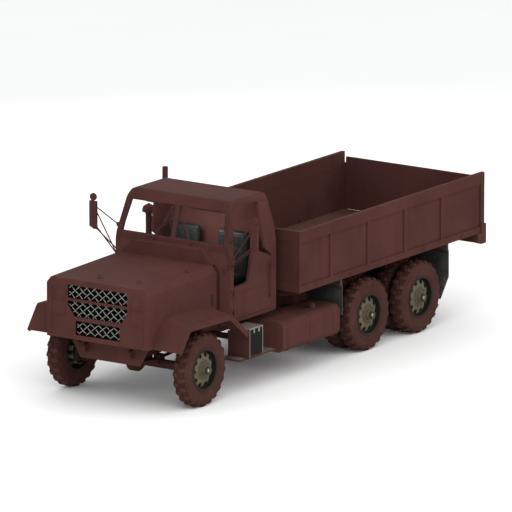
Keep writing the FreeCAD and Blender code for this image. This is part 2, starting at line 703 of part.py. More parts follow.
def fenders():
    """Mudguards outside the hood, sloping up to its sides, with a rolled outer edge."""
    path = [(133.0, 960.0), (385.0, 1300.0), (1440.0, 1272.0), (1890.0, 925.0)]
    radii = [0, 70.0, 70.0, 0, 0, 52.0, 52.0, 0]
    outer = outline(sheet(path, -FLARE_WALL), radii, lambda p: V(FLARE_X, p.x, p.y))
    raised = [(y, z + FLARE_RISE) for y, z in path]
    raised[0], raised[-1] = path[0], path[-1]
    inner = outline(sheet(raised, -FLARE_WALL), radii, lambda p: V(HOOD_HALF + SEAT_CLEAR, p.x, p.y))
    top = Part.makeLoft([inner, outer], True, True)
    lip_path = offset_path(path, -FLARE_WALL + 2.0)
    lip = prism_x(sheet(lip_path, -FLARE_LIP), FLARE_X - 14.0, FLARE_X, [0, 50.0, 50.0, 0, 0, 20.0, 20.0, 0])
    guard = joined([top, lip])
    beside_cab = box(HOOD_HALF - 50.0, CAB_HALF + MOVE_CLEAR, COWL_Y - MOVE_CLEAR - 4.0, CAB_REAR_Y, 0, ROOF_Z)
    return pair(guard.cut(beside_cab))


def grille():
    """Crossed wires in each of the three openings, held by a flat border behind the hood's front."""
    plates = []
    y0, y1 = HOOD_WALL + SEAT_CLEAR, HOOD_WALL + SEAT_CLEAR + MESH_WIRE
    middle = (y0 + y1) / 2
    for row, (low, high) in enumerate(GRILLE_ROWS):
        face = prism_y(grille_outline(row, 16.0), y0, y1)
        rim = face.cut(prism_y(grille_outline(row, -2.0), y0 - 5.0, y1 + 5.0))
        run = (high - low) * MESH_LEAN
        wires = []
        for i in range(-2, int(2 * GRILLE_HALF / MESH_PITCH) + 4):
            x = -GRILLE_HALF + i * MESH_PITCH
            for lean in (run, -run):
                wires.append(bar((x - lean, middle, low), (x + lean, middle, high), MESH_WIRE))
        lattice = wires[0].multiFuse(wires[1:]).common(face)
        plates.append(rim.fuse(lattice).removeSplitter())
    return Part.makeCompound(plates)


def headlamps():
    """A lamp in each front bay: a bezel on the hood's face and the bowl behind it."""
    front = V(LAMP_X, -BEZEL_T - SEAT_CLEAR, LAMP_Z)
    bowl = Part.makeCylinder(LAMP_R - 6.0, LAMP_DEPTH, front, V(0, 1, 0))
    ring = Part.makeCylinder(LAMP_R + LAMP_RING, BEZEL_T, front, V(0, 1, 0))
    return pair(bowl.fuse(ring).removeSplitter())


def cab_outline(inset):
    """The cab's side view, moved inward by a wall."""
    i = inset
    return [
        (SCREEN_BASE_Y + i, CAB_BOTTOM + i), (SCREEN_BASE_Y + i, SCREEN_BASE_Z),
        (SCREEN_TOP_Y + i, SCREEN_TOP_Z),
        (ROOF_FRONT_Y + i * 0.7, ROOF_Z - i), (ROOF_REAR_Y - i * 0.7, ROOF_Z - i), (CAB_REAR_Y - i, CAB_KINK_Z),
        (CAB_REAR_Y - i, CAB_BOTTOM + i),
    ]


def cab_front_view(inset):
    """The cab's front view, moved inward by a wall."""
    half, roof = CAB_HALF - inset, ROOF_HALF - inset
    eave = ROOF_HALF + 45.0 - inset
    return [
        (-half, CAB_BOTTOM + inset), (-half, SHOULDER_Z), (-eave, ROOF_Z - 90.0 - inset),
        (-roof, ROOF_Z - inset),
        (roof, ROOF_Z - inset), (eave, ROOF_Z - 90.0 - inset), (half, SHOULDER_Z), (half, CAB_BOTTOM + inset),
    ]


def door_opening(gap):
    """The doorway's outline, smaller by a gap all round where the door fills it."""
    g = gap
    return [
        (DOOR_FRONT_Y + g, DOOR_BOTTOM + g), (DOOR_FRONT_Y + g, 2010.0), (2085.0 + g, 2585.0),
        (2150.0, 2655.0 - g),
        (DOOR_REAR_Y - 195.0 - g, 2655.0 - g), (DOOR_REAR_Y - 165.0 - g, 1960.0), (DOOR_REAR_Y - g, 1835.0 - g),
        (DOOR_REAR_Y - g, DOOR_BOTTOM + g),
    ]


def screen_point(x_share, rise, depth=0.0):
    """A point on the windscreen's slope: share of the half width, share of the height."""
    half = SCREEN_HALF_BASE + (SCREEN_HALF_TOP - SCREEN_HALF_BASE) * rise
    y = SCREEN_BASE_Y + (SCREEN_TOP_Y - SCREEN_BASE_Y) * rise
    z = SCREEN_BASE_Z + (SCREEN_TOP_Z - SCREEN_BASE_Z) * rise
    slope = math.atan2(SCREEN_TOP_Y - SCREEN_BASE_Y, SCREEN_TOP_Z - SCREEN_BASE_Z)
    return V(x_share * half, y + depth * math.cos(slope), z - depth * math.sin(slope))


def screen_panes(inset, depth0, depth1):
    """Two panes beside the middle post, as solids between two depths."""
    panes = []
    post = (SCREEN_POST / 2 + inset) / SCREEN_HALF_BASE
    edge = 1 - inset / SCREEN_HALF_BASE
    low, high = 0.04 + inset / 500.0, 0.97 - inset / 500.0
    slope = math.atan2(SCREEN_TOP_Y - SCREEN_BASE_Y, SCREEN_TOP_Z - SCREEN_BASE_Z)
    push = V(0, math.cos(slope), -math.sin(slope)) * (depth1 - depth0)
    for side in (1, -1):
        ring = [
            screen_point(side * post, low, depth0), screen_point(side * edge, low, depth0),
            screen_point(side * edge, high, depth0), screen_point(
                side * post * SCREEN_HALF_BASE / SCREEN_HALF_TOP, high, depth0,
            ),
        ]
        panes.append(Part.Face(Part.makePolygon(ring + ring[:1])).extrude(push))
    return panes


def scuttle(grow=0.0):
    """The flared box between the hood's rear edge and the windscreen's foot, larger by a clearance where asked."""
    ends = []
    top = HOOD_TOP_FRONT + HOOD_RISE + grow
    for y, half, high in (
        (COWL_Y - grow, HOOD_HALF + 10.0 + grow, top), (SCREEN_BASE_Y + 5.0, CAB_HALF + grow, top + 160.0),
    ):
        shoulder, edge = high - 90.0, half - 90.0
        ring = [
            (-half, CAB_BOTTOM), (-half, shoulder), (-edge, high), (edge, high), (half, shoulder),
            (half, CAB_BOTTOM),
        ]
        ends.append(outline(ring, 0, lambda p, y=y: V(p.x, y, p.y)))
    return Part.makeLoft(ends, True, True)


def cowl():
    """The scuttle between hood and cab: a flared box, a collar in front of the windscreen and a seal lip."""
    top = HOOD_TOP_FRONT + HOOD_RISE
    flared = scuttle()
    collar_front = HOOD_LENGTH + HOOD_GAP
    slope_run = COLLAR_TOP - top
    collar = prism_y([
        (-COLLAR_HALF - slope_run, top - 1.0), (-COLLAR_HALF, COLLAR_TOP), (COLLAR_HALF, COLLAR_TOP),
        (COLLAR_HALF + slope_run, top - 1.0), (COLLAR_HALF + slope_run - 60.0, top - 60.0), (
            -COLLAR_HALF - slope_run + 60.0, top - 60.0,
        ),
    ], collar_front, SCREEN_BASE_Y + 5.0)
    lip_front = HOOD_LENGTH - 45.0
    lip = Part.makeLoft(
        [hood_section(lip_front, SEAL_INSET), hood_section(COWL_Y + 5.0, SEAL_INSET)], True, True,
    )
    hollow = Part.makeLoft(
        [hood_section(lip_front - 5.0, SEAL_INSET + 35.0), hood_section(COWL_Y + 10.0, SEAL_INSET + 35.0)],
        True, True,
    )
    pads = []
    for x in (-500.0, 500.0):
        pad_top = HOOD_TOP_FRONT + HOOD_RISE * lip_front / HOOD_LENGTH - HOOD_WALL - SEAT_CLEAR
        pads.append(box(x - 40.0, x + 40.0, lip_front + 3.0, HOOD_LENGTH - 4.0, pad_top - 30.0, pad_top))
    feet = []
    for side in (1, -1):
        x0, x1 = sorted((side * (RAIL_OUTER_X - RAIL_FLANGE), side * RAIL_OUTER_X))
        for y in (2010.0, 2900.0):
            feet.append(box(x0, x1, y - 45.0, y + 45.0, RAIL_TOP + SEAT_CLEAR, CAB_BOTTOM + 10.0))
    return joined([flared, collar, lip.cut(hollow)] + pads + feet)


def cab():
    """The hollow cab: floor, firewall, roof, back wall and pillars in one welded shell, with scuttle and hinges."""
    outer = prism_x(cab_outline(0.0), -CAB_HALF, CAB_HALF, [0, 20.0, 60.0, 50.0, 60.0, 200.0, 40.0])
    outer = outer.common(
        prism_y(
            cab_front_view(0.0), SCREEN_BASE_Y - 10.0, CAB_REAR_Y + 10.0,
            [30.0, 90.0, 60.0, 60.0, 60.0, 60.0, 90.0, 30.0],
        )
    )
    inner = prism_x(cab_outline(CAB_WALL), -CAB_HALF, CAB_HALF, 0)
    inner = inner.common(prism_y(cab_front_view(CAB_WALL), SCREEN_BASE_Y, CAB_REAR_Y, 0))
    solid = outer.fuse(cowl()).removeSplitter()
    shell = solid.cut(inner)
    for pane in screen_panes(0.0, -60.0, 120.0):
        shell = shell.cut(pane)
    doorway = prism_x(
        door_opening(0.0), CAB_HALF - 260.0, CAB_HALF + 40.0, [25.0, 0, 0, 30.0, 60.0, 40.0, 40.0, 25.0],
    )
    shell = shell.cut(doorway).cut(flipped(doorway))
    return shell.removeSplitter()


def windshield():
    return Part.makeCompound(screen_panes(SEAT_CLEAR, 14.0, 14.0 + SCREEN_GLASS))


def door_shape():
    """The left half-door: low in front, swept up behind, with rounded corners."""
    g = DOOR_GAP
    ring = [
        (DOOR_FRONT_Y + g, DOOR_BOTTOM + g), (DOOR_FRONT_Y + g, DOOR_LOW_TOP), (2345.0, DOOR_LOW_TOP),
        (2440.0, DOOR_HIGH_TOP), (DOOR_REAR_Y - 290.0, DOOR_HIGH_TOP - 15.0), (DOOR_REAR_Y - g, 1822.0 - g),
        (DOOR_REAR_Y - g, DOOR_BOTTOM + g),
    ]
    return ring


def door():
    """The left door: pressed panel, inner frame, hinge straps and handle."""
    panel = prism_x(door_shape(), CAB_HALF - DOOR_T, CAB_HALF, [25.0, 20.0, 70.0, 60.0, 60.0, 40.0, 25.0])
    front, rear, low, high = POCKET_Y[0], POCKET_Y[1], POCKET_Z[0], POCKET_Z[1]
    inside = [(front, low), (front, high), (rear, high), (rear, low)]
    panel = panel.cut(prism_x(inside, CAB_HALF - DOOR_T - 5.0, CAB_HALF - DOOR_SKIN, 40.0))
    crease = bar((CAB_HALF, DOOR_FRONT_Y + 60.0, CREASE_Z), (CAB_HALF, DOOR_REAR_Y - 60.0, CREASE_Z), 12.0)
    out = CAB_HALF + HANDLE_OUT
    grip = rod((out, HANDLE_Y, HANDLE_Z[0] - 25.0), (out, HANDLE_Y, HANDLE_Z[1] + 25.0), 11.0)
    posts = [rod((CAB_HALF, HANDLE_Y, z), (out, HANDLE_Y, z), 9.0) for z in HANDLE_Z]
    x, y = hinge_axis()
    straps = []
    for z in HINGE_PLACES:
        straps.append(box(CAB_HALF - 2.0, CAB_HALF + 10.0, y + 14.0, y + 130.0, z, z + HINGE_H))
        straps.append(box(CAB_HALF + 2.0, CAB_HALF + 10.0, y, y + 20.0, z, z + HINGE_H))
        straps.append(Part.makeCylinder(HINGE_R, HINGE_H, V(x, y, z), V(0, 0, 1)))
    return joined([panel, crease, grip] + posts + straps)


def hinge_axis():
    """Where the upright axis of the left door stands."""
    return CAB_HALF + HINGE_R + 4.0, DOOR_FRONT_Y - 6.0


def cab_hinges():
    """Fixed halves of the door hinges: a leaf on the pillar and a knuckle above and below the door's own."""
    x, y = hinge_axis()
    half = HINGE_H / 2
    pieces = []
    for z in HINGE_PLACES:
        for low in (z - half - HINGE_GAP, z + HINGE_H + HINGE_GAP):
            knuckle = Part.makeCylinder(HINGE_R, half, V(x, y, low), V(0, 0, 1))
            pieces.append(knuckle.fuse(box(CAB_HALF - 2.0, CAB_HALF + 10.0, y - 55.0, y, low, low + half)))
    return pieces


def wheel_axis():
    """The steering wheel's centre and the direction of its column, from the floor up."""
    return V(WHEEL_X, WHEEL_Y, WHEEL_Z), V(0, *WHEEL_TILT).normalize()


def dash():
    """Instrument shelf across the cab with the steering column and its bracket."""
    half = CAB_HALF - CAB_WALL - 4.0
    wall_y = SCREEN_BASE_Y + CAB_WALL + SEAT_CLEAR
    low, high = DASH_Z
    shelf = prism_x([(wall_y, low), (wall_y, high)] + list(DASH_RING), -half, half, [0, 0, 30.0, 30.0, 30.0, 0])
    centre, axis = wheel_axis()
    top = centre - axis * (20.0 + SEAT_CLEAR)
    foot = centre - axis * ((centre.y - wall_y - 20.0) / axis.y)
    column = rod((top.x, top.y, top.z), (foot.x, foot.y, foot.z), COLUMN_R)
    flange = box(WHEEL_X - 60.0, WHEEL_X + 60.0, wall_y, wall_y + 45.0, foot.z - 60.0, foot.z + 60.0)
    hanger = prism_x([
        (1990.0, low - 5.0), (2050.0, low + 80.0), (2090.0, low - 125.0), (2045.0, low - 180.0),
    ], WHEEL_X - 9.0, WHEEL_X + 9.0)
    return joined([shelf, column, flange, hanger])


def steering_wheel():
    centre, axis = wheel_axis()
    ring = Part.makeTorus(WHEEL_RING_R, 15.0, centre, axis)
    hub = Part.makeCylinder(42.0, 40.0, centre - axis * 20.0, axis)
    pieces = [ring, hub]
    across = V(1, 0, 0)
    up = axis.cross(across)
    for turn in (90, 210, 330):
        way = across * math.cos(math.radians(turn)) + up * math.sin(math.radians(turn))
        end = centre + way * (WHEEL_RING_R - 3.0)
        pieces.append(rod((centre.x, centre.y, centre.z), (end.x, end.y, end.z), 9.0))
    return joined(pieces)


def seat_frames():
    """A pressed pedestal and back frame under each seat."""
    floor, top = CAB_BOTTOM + CAB_WALL + SEAT_CLEAR, SEAT_Z - SEAT_CLEAR
    base = prism_x([
        (SEAT_FRONT_Y + 60.0, floor), (SEAT_FRONT_Y + 20.0, top), (SEAT_BACK_Y + 130.0, top),
        (SEAT_BACK_Y + 100.0, floor),
    ], SEAT_INNER_X + 40.0, SEAT_OUTER_X - 40.0, 12.0)
    back = SEAT_BACK_Y + 122.0
    spine = box(SEAT_INNER_X + 60.0, SEAT_OUTER_X - 60.0, back, back + 18.0, SEAT_Z - 60.0, SEAT_TOP - 120.0)
    return pair(joined([base, spine]))


def seats():
    """Plain closed solids for the cushion and the back of each seat."""
    cushion = box(SEAT_INNER_X, SEAT_OUTER_X, SEAT_FRONT_Y, SEAT_BACK_Y - 2.0, SEAT_Z, SEAT_Z + CUSHION_T)
    back = box(SEAT_INNER_X, SEAT_OUTER_X, SEAT_BACK_Y, SEAT_BACK_Y + 120.0, SEAT_Z + SEAT_CLEAR, SEAT_TOP)
    return Part.makeCompound([cushion, back, flipped(cushion), flipped(back)])


def mirrors():
    """Tall plate mirrors with a round one above, on stays that rise from the pillar and from the scuttle's side."""
    low, high = MIRROR_Z
    inner, outer, half = MIRROR_X - MIRROR_W / 2, MIRROR_X + MIRROR_W / 2, MIRROR_T / 2
    ring = [
        (inner, low), (inner, high), (outer, high), (outer, low + MIRROR_CUT), (outer - 2 * MIRROR_CUT, low),
    ]
    plate = prism_y(ring, MIRROR_Y - half, MIRROR_Y + half, [12.0, 12.0, 12.0, 20.0, 20.0])
    centre_z = high + ROUND_MIRROR_R + 3.0
    convex = rod(
        (MIRROR_X, MIRROR_Y - half - 2.0, centre_z), (MIRROR_X, MIRROR_Y + half + 2.0, centre_z),
        ROUND_MIRROR_R,
    )
    neck = rod((MIRROR_X, MIRROR_Y, high - 5.0), (MIRROR_X, MIRROR_Y, high + 20.0), STAY_R)
    tip_x, tip_y = inner + 2 * STAY_R, MIRROR_Y - half - 4.0
    stays = []
    for foot_z, tip_z in PILLAR_STAYS:
        stays.append(rod((CAB_HALF + 2.0, STAY_Y, foot_z), (tip_x, tip_y, tip_z), STAY_R))
        stays.append(
            box(CAB_HALF - 60.0, CAB_HALF + 12.0, STAY_Y - 18.0, STAY_Y + 18.0, foot_z - 30.0, foot_z + 26.0)
        )
    x, y, z = COWL_FOOT
    for tip_z in COWL_STAY_TIPS:
        stays.append(rod(COWL_FOOT, (tip_x, tip_y, tip_z), STAY_R))
    holder = joined([plate, convex, neck] + stays)
    holder = holder.cut(prism_y(cab_front_view(-SEAT_CLEAR), SCREEN_BASE_Y, CAB_REAR_Y))
    foot = box(x - 40.0, x + 2 * STAY_R, y - 24.0, y + 24.0, z - 30.0, z + 24.0)
    return pair(holder.fuse(foot).removeSplitter().cut(scuttle(SEAT_CLEAR)))


def wipers():
    """Two wipers parked towards the middle post."""
    blades = []
    pivot_z = (COLLAR_TOP + SCREEN_BASE_Z) / 2
    for side in (-1, 1):
        x = side * 0.36 * SCREEN_HALF_BASE
        boss = rod((x, SCREEN_BASE_Y - SEAT_CLEAR, pivot_z), (x, SCREEN_BASE_Y - 26.0, pivot_z), 14.0)
        tip = screen_point(side * 0.16, 0.62, -24.0)
        arm = rod((x, SCREEN_BASE_Y - 20.0, pivot_z), (tip.x, tip.y, tip.z), 6.0)
        low = screen_point(side * 0.215, 0.3, -10.0)
        high = screen_point(side * 0.10, 0.92, -10.0)
        blade = rod((low.x, low.y, low.z), (high.x, high.y, high.z), 7.0)
        link = rod((tip.x, tip.y, tip.z), (tip.x, tip.y + 14.0, tip.z - 4.0), 6.0)
        blades.append(joined([boss, arm, blade, link]))
    return Part.makeCompound(blades)


def exhaust_stack():
    """Silencer and upright pipe behind the right of the cab, with its feed from the frame."""
    up = V(0, 0, 1)
    silencer = Part.makeCylinder(
        SILENCER_R, SILENCER_Z[1] - SILENCER_Z[0], V(STACK_X, STACK_Y, SILENCER_Z[0]), up,
    )
    pipe = Part.makeCylinder(STACK_R, STACK_TOP - STACK_FOOT_Z, V(STACK_X, STACK_Y, STACK_FOOT_Z), up)
    bore = Part.makeCylinder(STACK_R - STACK_WALL, 300.0, V(STACK_X, STACK_Y, STACK_TOP - 250.0), up)
    rail_x = -RAIL_OUTER_X - SEAT_CLEAR
    bend = (STACK_X, STACK_Y, STACK_FOOT_Z + STACK_WALL)
    feed = rod(bend, (rail_x - 12.0, STACK_Y, RAIL_TOP - 50.0), STACK_R)
    flange = box(rail_x - 24.0, rail_x, STACK_Y - 60.0, STACK_Y + 60.0, RAIL_TOP - 105.0, RAIL_TOP - 2.0)
    elbow = Part.makeSphere(STACK_R, V(*bend))
    clamp_z = SILENCER_Z[1] - 120.0
    clamp = box(STACK_X - 60.0, STACK_X + 60.0, CAB_REAR_Y + SEAT_CLEAR, STACK_Y, clamp_z, clamp_z + 30.0)
    solid = joined([silencer, pipe, feed, elbow, flange, clamp])
    trim = box(rail_x, 0, STACK_Y - 200.0, STACK_Y + 200.0, RAIL_BOTTOM, RAIL_TOP + 70.0)
    return solid.cut(bore).cut(trim)


def air_cleaner():
    """Canister, riser and mushroom cap beside the cab's right rear corner."""
    x, y, up = CLEANER_X, CLEANER_Y, V(0, 0, 1)
    base_z = TANK_Z[1] + 22.0
    can = Part.makeCylinder(CLEANER_R, CLEANER_H, V(x, y, base_z), up)
    riser = Part.makeCylinder(RISER_R, CLEANER_CAP_Z - 90.0 - base_z, V(x, y, base_z), up)
    ring = [V(x + radius, y, CLEANER_CAP_Z - drop) for radius, drop in CLEANER_CAP]
    cap = Part.Face(Part.makePolygon(ring + ring[:1])).revolve(V(x, y, 0), up, 360)
    foot = box(x + 5.0, x + 120.0, y - 50.0, y + 60.0, TANK_Z[1] + SEAT_CLEAR, base_z)
    stay = box(x, -CAB_HALF - SEAT_CLEAR, y - 18.0, y - 6.0, 1500.0, 1540.0)
    return joined([can, riser, cap, stay, foot])


def steps():
    """Side boards with the splash panel behind each front wheel and a box that doubles as a step."""
    inner = STEP_INNER_X
    board = box(inner, STEP_OUTER_X - 20.0, BOARD_Y[0], BOARD_Y[1], BOARD_Z, BOARD_Z + BOARD_T)
    y0, y1 = STEP_BOX_Y
    splash = box(inner, FLARE_X - 20.0, y0 - 40.0, y0 - 26.0, BOARD_Z + BOARD_T - 2.0, 900.0)
    case = box(inner + STEP_BOX_INSET, STEP_OUTER_X, y0, y1, BOARD_Z + BOARD_T - 2.0, STEP_BOX_TOP)
    return pair(joined([board, splash, case]))


def fuel_tanks():
    """A long tank on each side with rolled edges, straps and a filler neck."""
    x0, x1 = TANK_INNER_X, TANK_OUTER_X
    z0, z1 = TANK_Z
    ring = [(x0, z0), (x0, z1), (x1, z1), (x1, z0)]
    tank = prism_y(ring, TANK_Y[0], TANK_Y[1], [60.0, 60.0, 110.0, 90.0])
    pieces = [tank]
    for y in strap_places():
        t = STRAP_T
        wrap = prism_y([
            (x0 - t, z0 - t), (x0 - t, z1 + t), (x1 + t, z1 + t), (x1 + t, z0 - t),
        ], y - STRAP_W / 2, y + STRAP_W / 2, [65.0, 65.0, 115.0, 95.0])
        pieces.append(wrap)
    filler = Part.makeCylinder(52.0, 60.0, V(x1 - 210.0, TANK_Y[1] - 420.0, z1 - 20.0), V(0, 0, 1))
    pieces.append(filler)
    return pair(joined(pieces))


def mudflaps():
    """Hanging flaps ahead of and behind the twin wheels."""
    flaps = []
    for ring, y in ((FLAP_REAR, FLAP_REAR_Y), (FLAP_FRONT, FLAP_FRONT_Y)):
        flap = prism_y(ring, y, y + FLAP_T)
        bar0, bar1 = FLAP_BAR_X
        hanger = box(bar0, bar1, y - 30.0, y + FLAP_T + 2.0, FLAP_TOP - 2.0, SILL_TOP - SEAT_CLEAR)
        flaps.append(joined([flap, hanger]))
    return Part.makeCompound([s for flap in flaps for s in (flap, flipped(flap))])


def bed_floor():
    """Floor plate on cross sills and two long bearers over the frame rails."""
    half = BED_HALF - BED_RIB - BED_PANEL - SEAT_CLEAR
    front = BED_FRONT_Y + HEADBOARD_T + SEAT_CLEAR
    plate = box(-half, half, front, BED_REAR_Y - GATE_T - MOVE_CLEAR, BED_FLOOR_BOTTOM, BED_FLOOR_TOP)
    for side in (1, -1):
        x0, x1 = sorted((side * (BED_HALF - POST_W - SEAT_CLEAR), side * BED_HALF))
        plate = plate.cut(box(x0, x1, BED_REAR_Y - POST_W, BED_REAR_Y, 0, BED_TOP))
    pieces = [plate]
    top, bottom, tip = SILL_TOP - SEAT_CLEAR, SILL_TOP - SILL_H, SILL_TOP - SILL_TIP_H
    section = [
        (-SILL_HALF, top), (SILL_HALF, top), (SILL_HALF, tip), (SILL_KNEE_X, bottom), (-SILL_KNEE_X, bottom),
        (-SILL_HALF, tip),
    ]
    for i in range(SILL_COUNT):
        y = BED_FRONT_Y + SILL_FIRST + i * SILL_PITCH
        if min(abs(y - FLAP_FRONT_Y), abs(y - FLAP_REAR_Y)) < SILL_W:
            y += SILL_W + 15.0
        pieces.append(prism_y(section, y - SILL_W / 2, y + SILL_W / 2))
    inner = RAIL_OUTER_X - RAIL_FLANGE
    bearer = box(
        inner, RAIL_OUTER_X, BED_FRONT_Y + 20.0, RAIL_REAR - 100.0, RAIL_TOP + SEAT_CLEAR, bottom - SEAT_CLEAR,
    )
    return Part.makeCompound(pieces + [bearer, flipped(bearer)])


def bed_sides():
    """Side walls: a panel, upright ribs and a deep cap rail along the top."""
    x1 = BED_HALF
    panel_x = x1 - BED_RIB
    rear = BED_REAR_Y - POST_W
    z0 = BED_FLOOR_BOTTOM
    front = BED_FRONT_Y + HEADBOARD_T + SEAT_CLEAR
    pieces = [box(panel_x - BED_PANEL, panel_x + 6.0, front, rear, z0, BED_TOP - 10.0)]
    pieces.append(box(panel_x + SEAT_CLEAR, x1 - 8.0, front, rear, z0, z0 + 90.0))
    pieces.append(box(panel_x - BED_PANEL, x1, front, BED_REAR_Y, BED_TOP - RAIL_CAP_H, BED_TOP))
    for i in range(RIB_COUNT):
        y = RIB_FIRST_Y + i * RIB_PITCH
        pieces.append(box(panel_x + SEAT_CLEAR, x1 - 6.0, y - RIB_W / 2, y + RIB_W / 2, z0, BED_TOP - 20.0))
    return pair(joined(pieces))


def headboard():
    """Front wall of the load bed with a pressed panel and three stiffeners."""
    y0 = BED_FRONT_Y
    half = BED_HALF
    wall = box(-half + 4.0, half - 4.0, y0, y0 + HEADBOARD_T, BED_FLOOR_BOTTOM, BED_TOP)
    recess = box(-half + 130.0, half - 130.0, y0 - 1.0, y0 + 16.0, BED_FLOOR_TOP + 90.0, BED_TOP - 165.0)
    wall = wall.cut(recess)
    ribs = [
        box(
            x - 35.0, x + 35.0, y0, y0 + 20.0, BED_FLOOR_TOP + 80.0, BED_TOP - 150.0,
        ) for x in (-540.0, 0.0, 540.0)
    ]
    return joined([wall] + ribs)


def tailgate():
    """Drop tailgate between the corner posts, with ribs and hinge lugs."""
    y1 = BED_REAR_Y
    half = BED_HALF - POST_W - MOVE_CLEAR
    low = BED_FLOOR_TOP + MOVE_CLEAR
    panel = box(-half, half, y1 - GATE_T, y1 - GATE_T + 18.0, low, GATE_TOP)
    pieces = [
        panel, box(-half, half, y1 - GATE_T, y1, GATE_TOP - 70.0, GATE_TOP),
        box(-half, half, y1 - GATE_T, y1, low, low + 60.0),
    ]
    for x in (-half + 35.0, -560.0, 0.0, 560.0, half - 35.0):
        pieces.append(box(x - 35.0, x + 35.0, y1 - GATE_T + 10.0, y1, low, GATE_TOP))
    shape = joined(pieces)
    for x in GATE_HINGES:
        lug = prism_x(
            [
                (y1 - 14.0, low + 40.0), (y1 + 14.0, low + 40.0), (y1 + 16.0, GATE_HINGE_Z),
                (y1 - 16.0, GATE_HINGE_Z),
            ],
            x - 30.0, x + 30.0,
        )
        barrel = rod((x - 30.0, y1, GATE_HINGE_Z), (x + 30.0, y1, GATE_HINGE_Z), 16.0)
        bore = rod((x - 35.0, y1, GATE_HINGE_Z), (x + 35.0, y1, GATE_HINGE_Z), GATE_PIN_R + 0.4)
        shape = shape.fuse(lug).fuse(barrel).cut(bore)
    return shape.removeSplitter()


def rear_beam():
    """Rear cross beam with corner posts, tail lamps, hinge ears and the pintle hook on the frame."""
    beam = box(
        -BED_HALF - 12.0, BED_HALF + 12.0, BEAM_REAR_Y - BEAM_DEPTH, BEAM_REAR_Y - 60.0, BEAM_BOTTOM + 30.0,
        BED_FLOOR_BOTTOM - SEAT_CLEAR,
    )
    pieces = [beam]
    for side in (1, -1):
        x0, x1 = sorted((side * (BED_HALF - POST_W), side * (BED_HALF + 12.0)))
        pieces.append(box(x0, x1, BED_REAR_Y - POST_W + SEAT_CLEAR, BEAM_REAR_Y, BEAM_BOTTOM, POST_TOP))
        post0, post1 = sorted((side * (BED_HALF - POST_W), side * (BED_HALF - 2.0)))
        pieces.append(
            box(
                post0, post1, BED_REAR_Y - POST_W + SEAT_CLEAR, BED_REAR_Y, POST_TOP - 5.0,
                BED_TOP - RAIL_CAP_H - SEAT_CLEAR,
            )
        )
    for x in GATE_HINGES:
        pieces.append(
            rod((x - 60.0, BED_REAR_Y, GATE_HINGE_Z), (x + 60.0, BED_REAR_Y, GATE_HINGE_Z), GATE_PIN_R)
        )
        for ear in (x - 62.0, x + 32.0):
            pieces.append(prism_x([
                (BED_REAR_Y - 60.0, 1130.0), (BED_REAR_Y - 60.0, 1205.0),
                (BED_REAR_Y - 18.0, GATE_HINGE_Z + 18.0),
                (BED_REAR_Y + 18.0, GATE_HINGE_Z + 18.0), (BED_REAR_Y + 18.0, GATE_HINGE_Z - 40.0),
                (BED_REAR_Y - 20.0, 1130.0),
            ], ear, ear + 30.0, [0, 0, 17.0, 17.0, 17.0, 0]))
    legs = []
    for side in (1, -1):
        x0, x1 = sorted((side * (RAIL_OUTER_X - 60.0), side * (RAIL_OUTER_X - 10.0)))
        legs.append(box(x0, x1, BEAM_REAR_Y - BEAM_DEPTH, RAIL_REAR, RAIL_TOP + SEAT_CLEAR, BEAM_BOTTOM + 40.0))
    return joined(pieces + legs)


def pintle():
    """Towing jaw bolted to the rear of the frame: a shank, a fixed lower jaw and a closed upper latch."""
    y0 = RAIL_REAR + SEAT_CLEAR
    flange = box(-80.0, 80.0, y0, y0 + 22.0, PINTLE_Z - 80.0, PINTLE_Z + 80.0)
    shank = rod((0, y0, PINTLE_Z), (0, BEAM_REAR_Y + PINTLE_REACH - 125.0, PINTLE_Z), 26.0)
    jaw_r = PINTLE_EYE_R + 30.0
    hook_y = BEAM_REAR_Y + PINTLE_REACH - jaw_r
    jaw = rod((-PINTLE_T / 2, hook_y, PINTLE_Z), (PINTLE_T / 2, hook_y, PINTLE_Z), jaw_r)
    eye = rod((-PINTLE_T, hook_y, PINTLE_Z), (PINTLE_T, hook_y, PINTLE_Z), PINTLE_EYE_R)
    return joined([flange, shank, jaw]).cut(eye)


def knuckle(side):
    """Steering knuckle: kingpin, body, brake plate and the spindle for the wheel."""
    x = side * KINGPIN_X
    y, z = FRONT_AXLE_Y, TYRE_R
    pin = Part.makeCylinder(KINGPIN_R, 280.0, V(x, y, z - 140.0), V(0, 0, 1))
    low, high = z - 86.0, z + 86.0
    x0, x1 = sorted((x - side * 40.0, x + side * 60.0))
    body = box(x0, x1, y - 48.0, y + 48.0, low, high)
    plate = rod((x + side * 52.0, y, z), (x + side * 64.0, y, z), 150.0)
    spindle = rod((x + side * 60.0, y, z), (side * (WHEEL_CENTRE_X + 10.0), y, z), SPINDLE_R)
    pin_x = side * TIE_PIN_X
    arm = box(pin_x - 20.0, pin_x + 20.0, y + 40.0, y + TIE_ARM + 22.0, z - 84.0, z - 56.0)
    tie_pin = rod((pin_x, y + TIE_ARM, TIE_Z - 22.0), (pin_x, y + TIE_ARM, z - 70.0), TIE_PIN_R)
    return joined([pin, body, plate, spindle, arm, tie_pin])


def tie_rod():
    """The track rod between the knuckles' arms, with an eye on each pin; it stays square to the truck."""
    y = FRONT_AXLE_Y + TIE_ARM
    shape = rod((-TIE_PIN_X, y, TIE_Z), (TIE_PIN_X, y, TIE_Z), 17.0)
    for side in (1, -1):
        x = side * TIE_PIN_X
        shape = shape.fuse(rod((x, y, TIE_Z - 20.0), (x, y, TIE_Z + 20.0), 27.0))
        shape = shape.cut(rod((x, y, TIE_Z - 30.0), (x, y, TIE_Z + 30.0), TIE_PIN_R + 0.4))
    return shape.removeSplitter()


def hub_profile(inner_x, outer_x):
    return [
        (SPINDLE_R + SPINDLE_PLAY, inner_x), (HUB_R, inner_x), (HUB_R, outer_x),
        (SPINDLE_R + SPINDLE_PLAY, outer_x),
    ]


